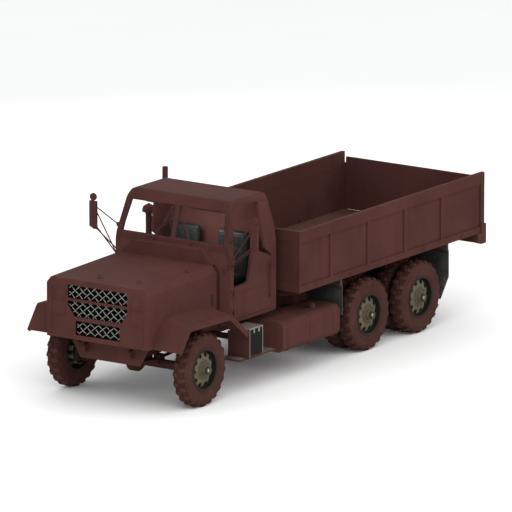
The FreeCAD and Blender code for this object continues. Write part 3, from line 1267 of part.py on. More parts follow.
def wheel_rim(side, y, twin):
    """Drop-centre rim with a dished, holed disc and a domed hub cap; a twin wheel has two on one hub."""
    centre_x = WHEEL_CENTRE_X
    half = TYRE_W / 2
    seat = RIM_R

    def dish(x, face):
        """One rim: barrel with flanges and a disc that stands at face."""
        barrel = turned([
            (seat - RIM_WALL, x - half + 12.0), (seat + 16.0, x - half + 12.0), (seat + 16.0, x - half + 24.0),
            (seat, x - half + 26.0), (seat, x + half - 26.0), (seat + 16.0, x + half - 24.0),
            (seat + 16.0, x + half - 12.0), (seat - RIM_WALL, x + half - 12.0),
        ], (0, y, TYRE_R))
        disc = turned([
            (HUB_R - 10.0, face), (HUB_R - 10.0, face + RIM_WALL), (170.0, face + RIM_WALL),
            (250.0, face - 30.0 + RIM_WALL),
            (seat - 4.0, face - 42.0 + RIM_WALL), (seat - 4.0, face - 42.0), (250.0, face - 30.0),
            (170.0, face),
        ], (0, y, TYRE_R))
        for i in range(HAND_HOLES):
            turn = 2 * math.pi * i / HAND_HOLES
            hole_y, hole_z = y + 222.0 * math.cos(turn), TYRE_R + 222.0 * math.sin(turn)
            disc = disc.cut(rod((face - 120.0, hole_y, hole_z), (face + 90.0, hole_y, hole_z), HAND_HOLE_R))
        return barrel.fuse(disc)

    face = centre_x + 62.0
    shapes = [dish(centre_x, face)]
    inner_end = KINGPIN_X + 72.0
    if twin:
        shapes.append(dish(INNER_TWIN_X, INNER_TWIN_X + 78.0))
        inner_end = INNER_TWIN_X - half + TWIN_HUB_INSET
    hub = turned(hub_profile(inner_end, face + 40.0), (0, y, TYRE_R))
    cap = turned(
        [
            (0, face + 38.0), (HUB_R, face + 38.0), (HUB_R - 4.0, face + 62.0), (HUB_R - 30.0, face + 82.0),
            (0, face + 88.0),
        ],
        (0, y, TYRE_R),
    )
    drum_out = inner_end + 95.0
    drum = turned(
        [
            (HUB_R - 5.0, drum_out - 14.0), (DRUM_R - 14.0, drum_out - 14.0), (DRUM_R - 14.0, inner_end),
            (DRUM_R, inner_end), (DRUM_R, drum_out), (HUB_R - 5.0, drum_out),
        ],
        (0, y, TYRE_R),
    )
    shape = joined(shapes + [hub, cap, drum])
    return shape if side > 0 else flipped(shape)


def tread_lug(side, turn):
    """One slanted lug from the tread's middle over the shoulder, turned about the axle; side is -1 or 1."""
    half, top = TYRE_W / 2, math.sqrt(TYRE_R ** 2 - ((LUG_W + LUG_SKEW) / 2) ** 2)
    root = TYRE_R - TREAD_DEPTH - 12.0
    section = [
        (LUG_INNER_X, root), (LUG_INNER_X, top), (half - 35.0, top), (half - 11.0, top - 21.0),
        (half - 1.0, top - 71.0),
        (half - 18.0, top - 71.0),
    ]
    slant = LUG_SKEW / (half - LUG_INNER_X)
    ring = [V(side * x, (x - LUG_INNER_X) * slant - (LUG_W + LUG_SKEW) / 2, r) for x, r in section]
    lug = Part.Face(Part.makePolygon(ring + ring[:1])).extrude(V(0, LUG_W, 0))
    lug.rotate(V(0, 0, 0), V(1, 0, 0), turn)
    return lug


def tyre_solid():
    """One tyre about the origin: a rounded carcass turned about the axle, with two rows of lugs out of step."""
    half, seat, base = TYRE_W / 2, RIM_R + 17.0, TYRE_R - TREAD_DEPTH
    carcass = turned([
        (seat, SHOULDER - half), (seat + 90.0, -half), (base - 60.0, -half), (base - 20.0, SHOULDER - half),
        (base, 35.0 - half), (base, half - 35.0), (base - 20.0, half - SHOULDER), (base - 60.0, half),
        (seat + 90.0, half), (seat, half - SHOULDER),
    ], (0, 0, 0))
    step = 360.0 / LUG_COUNT
    lugs = [tread_lug(side, (i + (side > 0) / 2) * step) for side in (1, -1) for i in range(LUG_COUNT)]
    return carcass.multiFuse(lugs).removeSplitter()


def tyre(pattern, side, y, twin):
    """The tyre or the pair of tyres on one wheel, copied from the pattern."""
    places = [WHEEL_CENTRE_X, INNER_TWIN_X] if twin else [WHEEL_CENTRE_X]
    shape = Part.makeCompound([pattern.translated(V(x, y, TYRE_R)) for x in places])
    return shape if side > 0 else flipped(shape)


SINGLE_PIECES = {
    "frame": frame, "bumper": front_bumper, "front_axle": front_axle, "bogie_axles": bogie_axles,
    "springs": springs,
    "driveline": driveline, "engine": engine, "radiator": radiator, "hood": hood, "fenders": fenders,
    "grille": grille, "headlamps": headlamps, "windshield": windshield, "dash": dash,
    "steering_wheel": steering_wheel, "seat_frames": seat_frames, "seats": seats, "mirrors": mirrors,
    "wipers": wipers, "exhaust_stack": exhaust_stack, "air_cleaner": air_cleaner, "steps": steps,
    "fuel_tanks": fuel_tanks, "mudflaps": mudflaps, "bed_floor": bed_floor, "bed_sides": bed_sides,
    "headboard": headboard, "tailgate": tailgate, "rear_beam": rear_beam, "pintle": pintle, "tie_rod": tie_rod,
}
WHEEL_ROWS = {"f": (FRONT_AXLE_Y, False), "m": (MID_AXLE_Y, True), "r": (REAR_AXLE_Y, True)}


def main():
    """Writes each sub-part to its own file."""
    os.makedirs("parts", exist_ok=True)
    hinges = [h for piece in cab_hinges() for h in (piece, flipped(piece))]
    export(joined([cab()] + hinges), "cab")
    for name, make in SINGLE_PIECES.items():
        export(make(), name)
    left_door = door()
    export(left_door, "door_l")
    export(flipped(left_door), "door_r")
    pattern = tyre_solid()
    for side, tag in ((1, "l"), (-1, "r")):
        export(knuckle(side), "knuckle_" + tag)
        for row, (y, twin) in WHEEL_ROWS.items():
            export(wheel_rim(side, y, twin), "rim_" + row + tag)
            export(tyre(pattern, side, y, twin), "tyre_" + row + tag)


main()
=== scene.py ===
"""Looks of a six-wheel-drive military cargo truck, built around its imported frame.

Every length is in metres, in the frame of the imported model: +X is the truck's left, -Y its front, +Z up.
"""

import json
import logging
import math
from collections.abc import Callable, Iterable, Sequence
from dataclasses import dataclass
from enum import Enum
from functools import cache
from typing import Protocol

import bpy
from mathutils import Matrix, Vector

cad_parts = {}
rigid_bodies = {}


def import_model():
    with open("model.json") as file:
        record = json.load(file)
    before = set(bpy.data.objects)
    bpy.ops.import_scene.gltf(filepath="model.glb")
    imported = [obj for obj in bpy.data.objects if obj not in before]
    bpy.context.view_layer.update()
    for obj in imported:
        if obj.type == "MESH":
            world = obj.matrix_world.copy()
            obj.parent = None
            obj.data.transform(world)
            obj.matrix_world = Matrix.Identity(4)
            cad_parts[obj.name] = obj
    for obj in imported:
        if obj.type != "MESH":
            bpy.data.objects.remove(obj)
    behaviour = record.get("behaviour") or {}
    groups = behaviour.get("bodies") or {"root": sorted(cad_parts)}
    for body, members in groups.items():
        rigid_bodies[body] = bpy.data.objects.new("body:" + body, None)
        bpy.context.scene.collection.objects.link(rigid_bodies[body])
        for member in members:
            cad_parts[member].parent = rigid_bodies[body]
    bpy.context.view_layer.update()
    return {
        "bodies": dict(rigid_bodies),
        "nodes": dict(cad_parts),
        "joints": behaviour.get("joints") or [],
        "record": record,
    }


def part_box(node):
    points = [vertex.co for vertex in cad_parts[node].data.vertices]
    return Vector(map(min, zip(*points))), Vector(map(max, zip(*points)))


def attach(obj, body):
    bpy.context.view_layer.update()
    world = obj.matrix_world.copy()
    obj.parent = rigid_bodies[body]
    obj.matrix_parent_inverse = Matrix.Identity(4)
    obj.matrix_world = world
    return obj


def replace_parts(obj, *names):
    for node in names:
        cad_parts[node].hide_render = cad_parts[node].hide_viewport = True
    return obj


logging.basicConfig(level=logging.INFO, format="%(message)s")
LOG = logging.getLogger("truck")

Point = tuple[float, float, float]
Colour = tuple[float, float, float]
Piece = bpy.types.Object
NOSE_Y = -4.13635  # stations are measured back from the truck's nose
LEFT, REAR, UP = Vector((1, 0, 0)), Vector((0, 1, 0)), Vector((0, 0, 1))
FRONT, DOWN = Vector((0, -1, 0)), Vector((0, 0, -1))


def row(station: float) -> float:
    """The Y of a place that lies so far behind the nose."""
    return station + NOSE_Y


def linear(red: int, green: int, blue: int) -> Colour:
    """A colour given in 0..255 display values, as linear light."""
    parts = [value / 255 for value in (red, green, blue)]
    return tuple(p / 12.92 if p <= 0.04045 else ((p + 0.055) / 1.055) ** 2.4 for p in parts)


def operator(operation: str, swapped: bool = False) -> Callable[["Wire", "Wire | float"], "Wire"]:
    """An arithmetic operator of Wire; swapped puts the other value first."""

    def apply(wire: "Wire", other: "Wire | float") -> "Wire":
        """Adds the Math node."""
        return wire.math(operation, *((other, wire) if swapped else (wire, other)))

    return apply


class Wire:
    """A socket's value. Arithmetic on it adds Math nodes to its shader."""

    __add__, __radd__ = operator("ADD"), operator("ADD", True)
    __sub__, __rsub__ = operator("SUBTRACT"), operator("SUBTRACT", True)
    __mul__, __rmul__ = operator("MULTIPLY"), operator("MULTIPLY", True)
    __truediv__, __pow__ = operator("DIVIDE"), operator("POWER")
    __gt__, __lt__ = operator("GREATER_THAN"), operator("LESS_THAN")

    def __init__(self, shader: "Shader", socket: bpy.types.NodeSocket) -> None:
        """Wraps a socket of a shader."""
        self.shader = shader
        self.socket = socket

    def math(self, operation: str, *values: "Wire | float", clamp: bool = False) -> "Wire":
        """Adds one Math node on these values."""
        sockets = dict(enumerate(values))
        return self.shader.add("ShaderNodeMath", sockets, operation=operation, use_clamp=clamp)

    def size(self) -> "Wire":
        """The value without its sign."""
        return self.math("ABSOLUTE", self)

    def rest(self) -> "Wire":
        """The part after the point."""
        return self.math("FRACT", self)

    def capped(self) -> "Wire":
        """The value held between 0 and 1."""
        return self.math("ADD", self, 0.0, clamp=True)

    def ramp(self, low: float, high: float) -> "Wire":
        """0 at low, 1 at high, straight between and held outside."""
        return self.math("MULTIPLY", self - low, 1 / (high - low), clamp=True)


class Shader:
    """One material's nodes, from its pattern place to its surface."""

    def __init__(self, name: str) -> None:
        """Starts an empty material of this name."""
        self.material = bpy.data.materials.new(name)
        self.material.use_nodes = True
        self.tree = self.material.node_tree
        self.tree.nodes.clear()
        self.place = self.add("ShaderNodeTexCoord", output="Object")

    def add(self, kind: str, sockets: dict | None = None, output: int | str = 0, **settings: object) -> Wire:
        """Adds any node but the last.

        Args:
            kind: the node's type.
            sockets: the values or links of its inputs, by name or number.
            output: the output that is wanted.
            settings: the node's own settings, set first.

        Returns:
            The value of that output.
        """
        made = self.tree.nodes.new(kind)
        for key, value in settings.items():
            setattr(made, key, value)
        for key, value in (sockets or {}).items():
            if isinstance(value, Wire):
                self.tree.links.new(value.socket, made.inputs[key])
            elif isinstance(value, tuple) and len(value) == 3 and made.inputs[key].type == "RGBA":
                made.inputs[key].default_value = (*value, 1)
            else:
                made.inputs[key].default_value = value
        return Wire(self, made.outputs[output])

    def parts(self, vector: Wire) -> tuple[Wire, Wire, Wire]:
        """A vector as three numbers."""
        split = self.add("ShaderNodeSeparateXYZ", {0: vector}).socket.node
        return tuple(Wire(self, output) for output in split.outputs)

    def noise(self, scale: float, detail: float, rough: float = 0.55, stretch: Point | None = None) -> Wire:
        """Cloudy noise from 0 to 1.

        Args:
            scale: its clouds to a metre, about.
            detail: how many finer layers it has.
            rough: how strong these are.
            stretch: what its place is scaled by along each axis.

        Returns:
            The noise.
        """
        place = self.place
        if stretch:
            place = self.add("ShaderNodeMapping", {"Vector": place, "Scale": stretch})
        sockets = {"Vector": place, "Scale": scale, "Detail": detail, "Roughness": rough}
        return self.add("ShaderNodeTexNoise", sockets)

    def cells(self, scale: float, feature: str = "F1") -> Wire:
        """Distance to the nearest of scattered points."""
        sockets = {"Vector": self.place, "Scale": scale}
        return self.add("ShaderNodeTexVoronoi", sockets, "Distance", feature=feature)

    def mix(self, share: Wire | float, first: Wire | Colour, second: Wire | Colour) -> Wire:
        """A colour between two."""
        sockets = {0: share, 6: first, 7: second}
        return self.add("ShaderNodeMix", sockets, 2, data_type="RGBA", clamp_factor=True)

    def edges(self, radius: float) -> Wire:
        """1 on outer and inner edges of the surface, 0 on its flats."""
        rounded = self.add("ShaderNodeBevel", {"Radius": radius}, samples=4)
        flat = self.add("ShaderNodeNewGeometry", output="Normal")
        dot = self.add("ShaderNodeVectorMath", {0: rounded, 1: flat}, "Value", operation="DOT_PRODUCT")
        return (1 - dot).ramp(0.01, 0.16)

    def bump(self, height: Wire, distance: float, strength: float) -> Wire:
        """A normal that follows a height."""
        return self.add("ShaderNodeBump", {"Height": height, "Distance": distance, "Strength": strength})

    def surface(self, colour: Wire, rough: Wire | float, **sockets: Wire | float) -> bpy.types.Material:
        """Closes the material with one surface.

        Args:
            colour: its base colour.
            rough: its roughness.
            sockets: values and links of other sockets, by name with _ for a space.

        Returns:
            The finished material.
        """
        named = {key.replace("_", " "): value for key, value in sockets.items()}
        shader = self.add("ShaderNodeBsdfPrincipled", {"Base Color": colour, "Roughness": rough, **named})
        end = self.tree.nodes.new("ShaderNodeOutputMaterial")
        self.tree.links.new(shader.socket, end.inputs[0])
        return self.material


# Finishes

FRONT_AXLE, MIDDLE_AXLE, REAR_AXLE = 0.956, 5.146, 6.491
WHEEL_Z = 0.54
SINGLE_X = 1.105
INNER_X = 0.795
CORNERS = {
    "fl": (FRONT_AXLE, 1, (SINGLE_X,)),
    "fr": (FRONT_AXLE, -1, (SINGLE_X,)),
    "ml": (MIDDLE_AXLE, 1, (SINGLE_X, INNER_X)),
    "mr": (MIDDLE_AXLE, -1, (SINGLE_X, INNER_X)),
    "rl": (REAR_AXLE, 1, (SINGLE_X, INNER_X)),
    "rr": (REAR_AXLE, -1, (SINGLE_X, INNER_X)),
}
WEAVE_Y = NOSE_Y + 0.0352  # the middle of the grille's wires
MAROON = linear(72, 44, 41)
MAROON_DARK = linear(60, 37, 34)
RED_PRIMER = linear(98, 56, 46)
DUST = linear(104, 76, 66)
MUD = linear(76, 55, 46)
RUST = linear(92, 47, 28)


def scaled(colour: Colour, share: float) -> Colour:
    """A colour made darker or lighter."""
    return tuple(min(1.0, part * share) for part in colour)


class Finish(Protocol):
    """A kind of surface, which makes its own material."""

    name: str

    def make(self) -> bpy.types.Material:
        """The finish as a material."""


@dataclass(frozen=True)
class Paint:
    """Dull field paint on sheet metal, with dust on what faces up, rubbed edges, chips and rain streaks."""

    name: str
    colour: Colour
    dust: float = 0.03
    wear: float = 0.55
    mud: float = 0.35
    edge: float = 0.007
    rough: float = 0.7

    def make(self) -> bpy.types.Material:
        """The paint as a material."""
        shader = Shader(self.name)
        clouds = shader.noise(0.8, 6.0, 0.6)
        grain = shader.noise(46.0, 3.0, 0.6)
        streaks = shader.noise(5.5, 5.0, 0.6, (1.0, 1.0, 0.12))
        colour = shader.mix(clouds.ramp(0.3, 0.72), scaled(self.colour, 0.8), scaled(self.colour, 1.22))
        colour = shader.mix(streaks.ramp(0.5, 0.82) * 0.42, colour, scaled(self.colour, 0.62))
        facing = shader.parts(shader.add("ShaderNodeNewGeometry", output="Normal"))[2].ramp(0.25, 0.95)
        settled = facing * (clouds * 0.6 + grain * 0.5).ramp(0.28, 0.78) * self.dust
        colour = shader.mix(settled, colour, DUST)
        height = shader.parts(shader.place)[2]
        splash = (1.3 - height).ramp(0.0, 1.0) * shader.noise(6.5, 6.0, 0.68).ramp(0.42, 0.7) * self.mud
        colour = shader.mix(splash, colour, MUD)
        rubbed = shader.edges(self.edge)
        soft = rubbed * (0.35 + grain * 0.65) * self.wear
        colour = shader.mix(soft, colour, shader.mix(0.55, RED_PRIMER, DUST))
        chips = (rubbed * shader.noise(21.0, 5.0, 0.7).ramp(0.52, 0.62)).ramp(0.35, 0.6) * self.wear
        colour = shader.mix(chips, colour, RUST)
        rough = (self.rough + (grain - 0.5) * 0.16 + settled * 0.5 + splash * 0.3 + soft * 0.1).capped()
        normal = shader.bump(clouds * 3.0 + grain * 0.18 - chips * 0.5, 0.0022, 0.55)
        return shader.surface(colour, rough, Normal=normal, Specular_IOR_Level=0.02)


@dataclass(frozen=True)
class RimPaint:
    """Chalky beige wheel paint, darker in rings about the hub, with a painted highlight at its centre,
    painted shadow at the rim's outer edge, painted shade about the hand holes, and rust runs.
    """

    name: str
    centre: Point
    colour: Colour = linear(98, 93, 77)
    holes: int = 10
    hole_reach: float = 0.222

    def make(self) -> bpy.types.Material:
        """The rim paint as a material."""
        shader = Shader(self.name)
        _, along, up = shader.parts(shader.place)
        y, z = along - self.centre[1], up - self.centre[2]
        reach = (y * y + z * z) ** 0.5
        clouds = shader.noise(9.0, 6.0, 0.65)
        grain = shader.noise(70.0, 3.0, 0.6)
        colour = shader.mix(clouds.ramp(0.32, 0.68), scaled(self.colour, 0.7), self.colour)
        inner = (reach + (clouds - 0.5) * 0.03).ramp(0.172, 0.14)
        colour = shader.mix(inner * 0.85, colour, linear(76, 68, 54))
        colour = shader.mix((reach - 0.044).size().ramp(0.026, 0.008), colour, linear(34, 29, 23))
        # painted highlight: a pale disc at the hub's centre
        colour = shader.mix(reach.ramp(0.028, 0.016), colour, linear(150, 146, 130))
        # painted shadow: a dark band round the rim's outer edge, next to the tyre
        outer = (reach + (clouds - 0.5) * 0.014).ramp(0.24, 0.254)
        colour = shader.mix(outer, colour, linear(30, 25, 20))
        # painted shade: near-black round each hand hole, wider than the hole itself, for the dark seen
        # through it
        turn = z.math("ARCTAN2", z, y) * (self.holes / math.tau) + 0.5
        aside = (turn.rest() - 0.5) * (math.tau / self.holes * self.hole_reach)
        off = reach - self.hole_reach
        hole = (aside * aside + off * off) ** 0.5
        colour = shader.mix(hole.ramp(0.042, 0.034), colour, linear(16, 13, 11))
        runs = shader.noise(16.0, 6.0, 0.7).ramp(0.58, 0.74)
        colour = shader.mix(runs * 0.5, colour, RUST)
        rubbed = shader.edges(0.006) * (0.3 + grain * 0.7)
        colour = shader.mix(rubbed * 0.5, colour, linear(146, 136, 118))
        normal = shader.bump(grain + clouds * 2.0 - runs, 0.0014, 0.6)
        rough = 0.52 + grain * 0.2 + runs * 0.15
        return shader.surface(colour, rough, Normal=normal, Specular_IOR_Level=0.12)


@dataclass(frozen=True)
class Rubber:
    """Moulded rubber, with dust in its grain; a flap's lower part is dustier, over a black hem."""

    name: str
    colour: Colour
    dusty: Colour = linear(112, 84, 72)
    share: float = 0.5
    hem: float | None = None

    def make(self) -> bpy.types.Material:
        """The rubber as a material."""
        shader = Shader(self.name)
        clouds = shader.noise(7.0, 6.0, 0.62)
        grain = shader.noise(120.0, 4.0, 0.6)
        pits = shader.cells(160.0).ramp(0.05, 0.5)
        share = clouds.ramp(0.3, 0.74) * self.share
        if self.hem is not None:
            height = shader.parts(shader.place)[2]
            low = (self.hem + 0.42 - height).ramp(0.0, 0.36) * shader.noise(11.0, 6.0, 0.7).ramp(0.3, 0.62)
            share = (share + low * 0.7) * (height > self.hem + 0.055)
        colour = shader.mix(share.capped(), self.colour, self.dusty)
        colour = shader.mix(shader.edges(0.005) * 0.35, colour, self.dusty)
        normal = shader.bump(grain * 0.7 + pits * 0.4 + clouds, 0.0011, 0.7)
        rough = 0.68 + grain * 0.2 + share * 0.1
        return shader.surface(colour, rough, Normal=normal, Specular_IOR_Level=0.15)


@dataclass(frozen=True)
class TyreRubber:
    """Dusty tyre rubber, with painted shade at the foot of the tread bars. The attribute "reach" is the
    distance from the axle, for the moulded rings.
    """

    name: str
    colour: Colour = linear(56, 33, 30)
    dusty: Colour = linear(80, 54, 48)

    def make(self) -> bpy.types.Material:
        """The tyre rubber as a material."""
        shader = Shader(self.name)
        reach = shader.add("ShaderNodeAttribute", output="Fac", attribute_name="reach")
        clouds = shader.noise(4.5, 6.0, 0.64)
        grain = shader.noise(95.0, 4.0, 0.6)
        rings = reach.math("SINE", reach * 620.0) * (0.47 - reach).ramp(0.0, 0.02)
        tread = reach.ramp(0.5, 0.538)
        colour = shader.mix(clouds.ramp(0.3, 0.7) * 0.6 + tread * 0.25, self.colour, self.dusty)
        # painted shade: darker rubber at the groove floor, round the foot of the tread bars
        colour = shader.mix((0.512 - reach).size().ramp(0.014, 0.0) * 0.5, colour, scaled(self.colour, 0.5))
        colour = shader.mix(shader.edges(0.007) * (0.25 + grain * 0.4), colour, self.dusty)
        normal = shader.bump(grain * 0.5 + rings * 0.3 + clouds, 0.0013, 0.7)
        return shader.surface(colour, 0.74 + grain * 0.18, Normal=normal, Specular_IOR_Level=0.05)


@dataclass(frozen=True)
class Metal:
    """Bare or plated metal: brushed, stained and dulled."""

    name: str
    colour: Colour
    share: float = 0.5
    rough: float = 0.34
    metallic: float = 0.9
    stain: Colour = linear(70, 52, 42)

    def make(self) -> bpy.types.Material:
        """The metal as a material."""
        shader = Shader(self.name)
        clouds = shader.noise(14.0, 6.0, 0.65)
        brush = shader.noise(150.0, 3.0, 0.6)
        stained = clouds.ramp(0.46, 0.7) * self.share
        colour = shader.mix(brush * 0.35, self.colour, scaled(self.colour, 0.7))
        colour = shader.mix(stained, colour, self.stain)
        colour = shader.mix(shader.edges(0.004) * 0.35, colour, scaled(self.colour, 1.4))
        rough = (self.rough + stained * 0.4 + (brush - 0.5) * 0.12).capped()
        metallic = (self.metallic - stained * 0.7).capped()
        normal = shader.bump(brush * 0.4 + clouds, 0.0008, 0.5)
        return shader.surface(colour, rough, Metallic=metallic, Normal=normal)


@dataclass(frozen=True)
class Leather:
    """Seat cover of black leathercloth, with pebbled grain, creases and rubbed high places."""

    name: str
    colour: Colour = linear(25, 28, 26)

    def make(self) -> bpy.types.Material:
        """The cover as a material."""
        shader = Shader(self.name)
        pebbles = shader.cells(210.0, "SMOOTH_F1")
        creases = shader.noise(13.0, 8.0, 0.7)
        clouds = shader.noise(3.0, 4.0, 0.5)
        colour = shader.mix(clouds.ramp(0.35, 0.7), scaled(self.colour, 0.65), self.colour)
        colour = shader.mix(creases.ramp(0.55, 0.72) * 0.3, colour, linear(82, 88, 80))
        normal = shader.bump(pebbles * -0.8 + creases * 1.6, 0.0016, 0.7)
        rough = 0.42 + clouds * 0.22 + creases * 0.1
        return shader.surface(colour, rough, Normal=normal, Specular_IOR_Level=0.22)


@dataclass(frozen=True)
class Glass:
    """Clear or coloured glass, with a film of dust, and flutes where it is a lamp's."""

    name: str
    colour: Colour = linear(40, 48, 48)
    solid: float = 0.012
    film: float = 0.0
    flutes: float = 0.0

    def make(self) -> bpy.types.Material:
        """The glass as a material."""
        shader = Shader(self.name)
        clouds = shader.noise(3.2, 6.0, 0.66)
        dust = (clouds.ramp(0.42, 0.78) * (0.5 + shader.noise(90.0, 3.0, 0.6) * 0.5)) * self.film
        sockets = {"Alpha": (self.solid + dust).capped(), "IOR": 1.5}
        if self.flutes:
            waves = {"wave_type": "BANDS", "bands_direction": "X", "wave_profile": "SIN"}
            ribs = shader.add("ShaderNodeTexWave", {"Vector": shader.place, "Scale": self.flutes}, 1, **waves)
            sockets["Normal"] = shader.bump(ribs, 0.004, 0.8)
        return shader.surface(shader.mix(dust, self.colour, DUST), 0.05 + dust * 0.5, **sockets)


@dataclass(frozen=True)
class TreadPlate:
    """Rolled aluminium plate with raised bars in two directions, dirt between them."""

    name: str
    colour: Colour = linear(92, 95, 87)
    pitch: float = 0.045

    def make(self) -> bpy.types.Material:
        """The plate as a material."""
        shader = Shader(self.name)
        x, y, _ = shader.parts(shader.place)
        across, back = x / self.pitch, y / self.pitch
        odd = ((across.rest() > 0.5) - (back.rest() > 0.5)).size()
        one, two = (across + back).rest() - 0.5, (across - back).rest() - 0.5
        bars = (one.size() < 0.13) * odd + (two.size() < 0.13) * (1 - odd)
        clouds = shader.noise(8.0, 6.0, 0.65)
        dirt = (1 - bars) * clouds.ramp(0.25, 0.7)
        colour = shader.mix(dirt * 0.75, self.colour, linear(92, 78, 68))
        colour = shader.mix(clouds.ramp(0.5, 0.8) * 0.4, colour, MUD)
        normal = shader.bump(bars + clouds * 0.3, 0.0022, 0.8)
        return shader.surface(colour, 0.38 + dirt * 0.35, Normal=normal, Metallic=0.35 - dirt * 0.25)


@dataclass(frozen=True)
class WovenWire:
    """Dull plated wire of a woven mesh, with painted shade, near black, where it dives behind the wire that
    it crosses.
    """

    name: str
    colour: Colour = linear(138, 141, 130)

    def make(self) -> bpy.types.Material:
        """The wire as a material."""
        shader = Shader(self.name)
        grime = shader.noise(38.0, 5.0, 0.65)
        # painted shade: the wire turns near black where it lies behind the weave's middle
        behind = (shader.parts(shader.place)[1] - WEAVE_Y).ramp(-0.0035, 0.002)
        colour = shader.mix(grime.ramp(0.4, 0.75) * 0.5, self.colour, scaled(self.colour, 0.55))
        colour = shader.mix(behind, colour, linear(10, 10, 9))
        normal = shader.bump(grime, 0.0006, 0.5)
        return shader.surface(colour, 0.46 + grime * 0.2, Normal=normal, Metallic=0.15)


def rim(corner: str) -> tuple[Finish, str]:
    """The finish and the slot of one wheel's rim, painted in rings about its centre."""
    axle, side, _ = CORNERS[corner]
    return RimPaint(f"rim_paint_{corner}", (side * SINGLE_X, row(axle), WHEEL_Z)), "rim_paint"


class Look(Enum):
    """Each look: its finish, and the record's slot that it belongs to."""

    BODY = Paint("field_paint", MAROON), "body_paint"
    CHASSIS = Paint("chassis_paint", MAROON_DARK, dust=0.2, wear=0.4, mud=0.6, rough=0.68), "chassis_paint"
    BED = Paint("bed_paint", MAROON, dust=0.1, wear=0.6, mud=0.3, edge=0.008), "body_paint"
    FLOOR = Paint("floor_paint", MAROON_DARK, dust=0.8, wear=0.9, mud=0.2), "body_paint"
    TYRE = TyreRubber("tyre_rubber"), "tyre_rubber"
    FLAP = Rubber("flap_rubber", linear(36, 37, 38), linear(104, 101, 95), 0.3, hem=0.36), "flap_rubber"
    SEAL = Rubber("seal_rubber", linear(24, 23, 23), share=0.3), "flap_rubber"
    BLACK = Paint("black_paint", linear(40, 37, 36), dust=0.35, wear=0.5, mud=0.3, rough=0.5), "black_metal"
    CAST = Metal("cast_iron", linear(62, 50, 45), 0.7, 0.62, 0.45), "cast"
    STEEL = Metal("bare_steel", linear(128, 122, 116), rough=0.36), "bare_steel"
    WIRE = WovenWire("grille_wire"), "wire"
    COVER = Paint("box_cover", linear(26, 28, 25), dust=0.1, wear=0.15, mud=0.1, rough=0.5), "black_metal"
    BOWL = Metal("bright_reflector", linear(225, 225, 222), 0.12, 0.08, 1.0), "bare_steel"
    SEAT = Leather("seat_cover"), "seat_cover"
    GLASS = Glass("clear_glass"), "lamp"
    LENS = Paint("lamp_paint", MAROON, dust=0.12, wear=0.25, rough=0.5), "lamp"
    MIRROR = Metal("mirror_silver", linear(196, 202, 206), 0.1, 0.06, 1.0), "lamp"
    RED = Glass("red_lens", linear(150, 18, 14), 0.9, 0.3, 60.0), "lamp"
    AMBER = Glass("amber_lens", linear(190, 92, 16), 0.9, 0.3, 60.0), "lamp"
    PLATE = TreadPlate("tread_plate"), "bare_steel"
    ALLOY = Metal("edge_alloy", linear(124, 126, 118), 0.45, 0.46, 0.4), "bare_steel"
    CORE = Rubber("radiator_core", linear(22, 21, 21), share=0.25), "black_metal"
    # a near-black sheet behind the grille wires, painted shade for the grille's inside; the opening frames
    # use it too
    SCREEN = Paint("dark_screen", linear(3, 3, 3), dust=0.0, wear=0.1, mud=0.0), "flap_rubber"
    DIAL = Rubber("dial_face", linear(10, 10, 10), share=0.05), "black_metal"
    MARKS = Rubber("dial_marks", linear(212, 208, 196), share=0.05), "black_metal"
    GRIP = Rubber("grip_plastic", linear(28, 27, 27), share=0.15), "black_metal"
    RIM_FL = rim("fl")
    RIM_FR = rim("fr")
    RIM_ML = rim("ml")
    RIM_MR = rim("mr")
    RIM_RL = rim("rl")
    RIM_RR = rim("rr")


RIM_LOOKS = {corner: Look[f"RIM_{corner.upper()}"] for corner in CORNERS}
NODE_LOOKS = {
    Look.BODY: ("cab", "dash", "hood", "fenders", "door_l", "door_r", "bumper", "mirrors", "wipers", "steps",
                "exhaust_stack", "air_cleaner", "fuel_tanks"),
    Look.BED: ("bed_sides", "headboard", "tailgate", "rear_beam"),
    Look.FLOOR: ("bed_floor",),
    Look.CHASSIS: ("frame", "springs", "driveline", "front_axle", "bogie_axles", "knuckle_l", "knuckle_r",
                   "tie_rod"),
    Look.GLASS: ("windshield",),
    Look.BLACK: ("steering_wheel", "seat_frames"),
    Look.CAST: ("engine", "pintle"),
    Look.CORE: ("radiator",),
    Look.WIRE: ("grille",),
    Look.LENS: ("headlamps",),
    Look.SEAT: ("seats",),
    Look.FLAP: ("mudflaps",),
    Look.SEAL: tuple(f"tyre_{corner}" for corner in CORNERS),
    **{look: (f"rim_{corner}",) for corner, look in RIM_LOOKS.items()},
}


@cache
def material(look: Look) -> bpy.types.Material:
    """The material of a look, made once."""
    return look.value[0].make()


def dress_frame(nodes: dict[str, Piece]) -> None:
    """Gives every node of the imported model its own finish."""
    for look, names in NODE_LOOKS.items():
        for node in (nodes[name] for name in names):
            if not node.material_slots:
                node.data.materials.append(material(look))
            for place in node.material_slots:
                place.material = material(look)


# Modelling


def only(*pieces: Piece) -> None:
    """Selects these pieces and makes the first one active."""
    bpy.ops.object.select_all(action="DESELECT")
    for piece in pieces:
        piece.select_set(True)
    bpy.context.view_layer.objects.active = pieces[0]


def settle(piece: Piece) -> Piece:
    """Puts a piece's place into its mesh."""
    only(piece)
    bpy.ops.object.transform_apply(location=True, rotation=True, scale=True)
    return piece


def shape(piece: Piece) -> None:
    """Opens a piece's mesh for editing by faces, with nothing selected."""
    only(piece)
    bpy.ops.object.mode_set(mode="EDIT")
    bpy.ops.mesh.select_mode(type="FACE")
    bpy.ops.mesh.select_all(action="DESELECT")


def close(piece: Piece) -> Piece:
    """Leaves editing."""
    bpy.ops.object.mode_set(mode="OBJECT")
    return piece


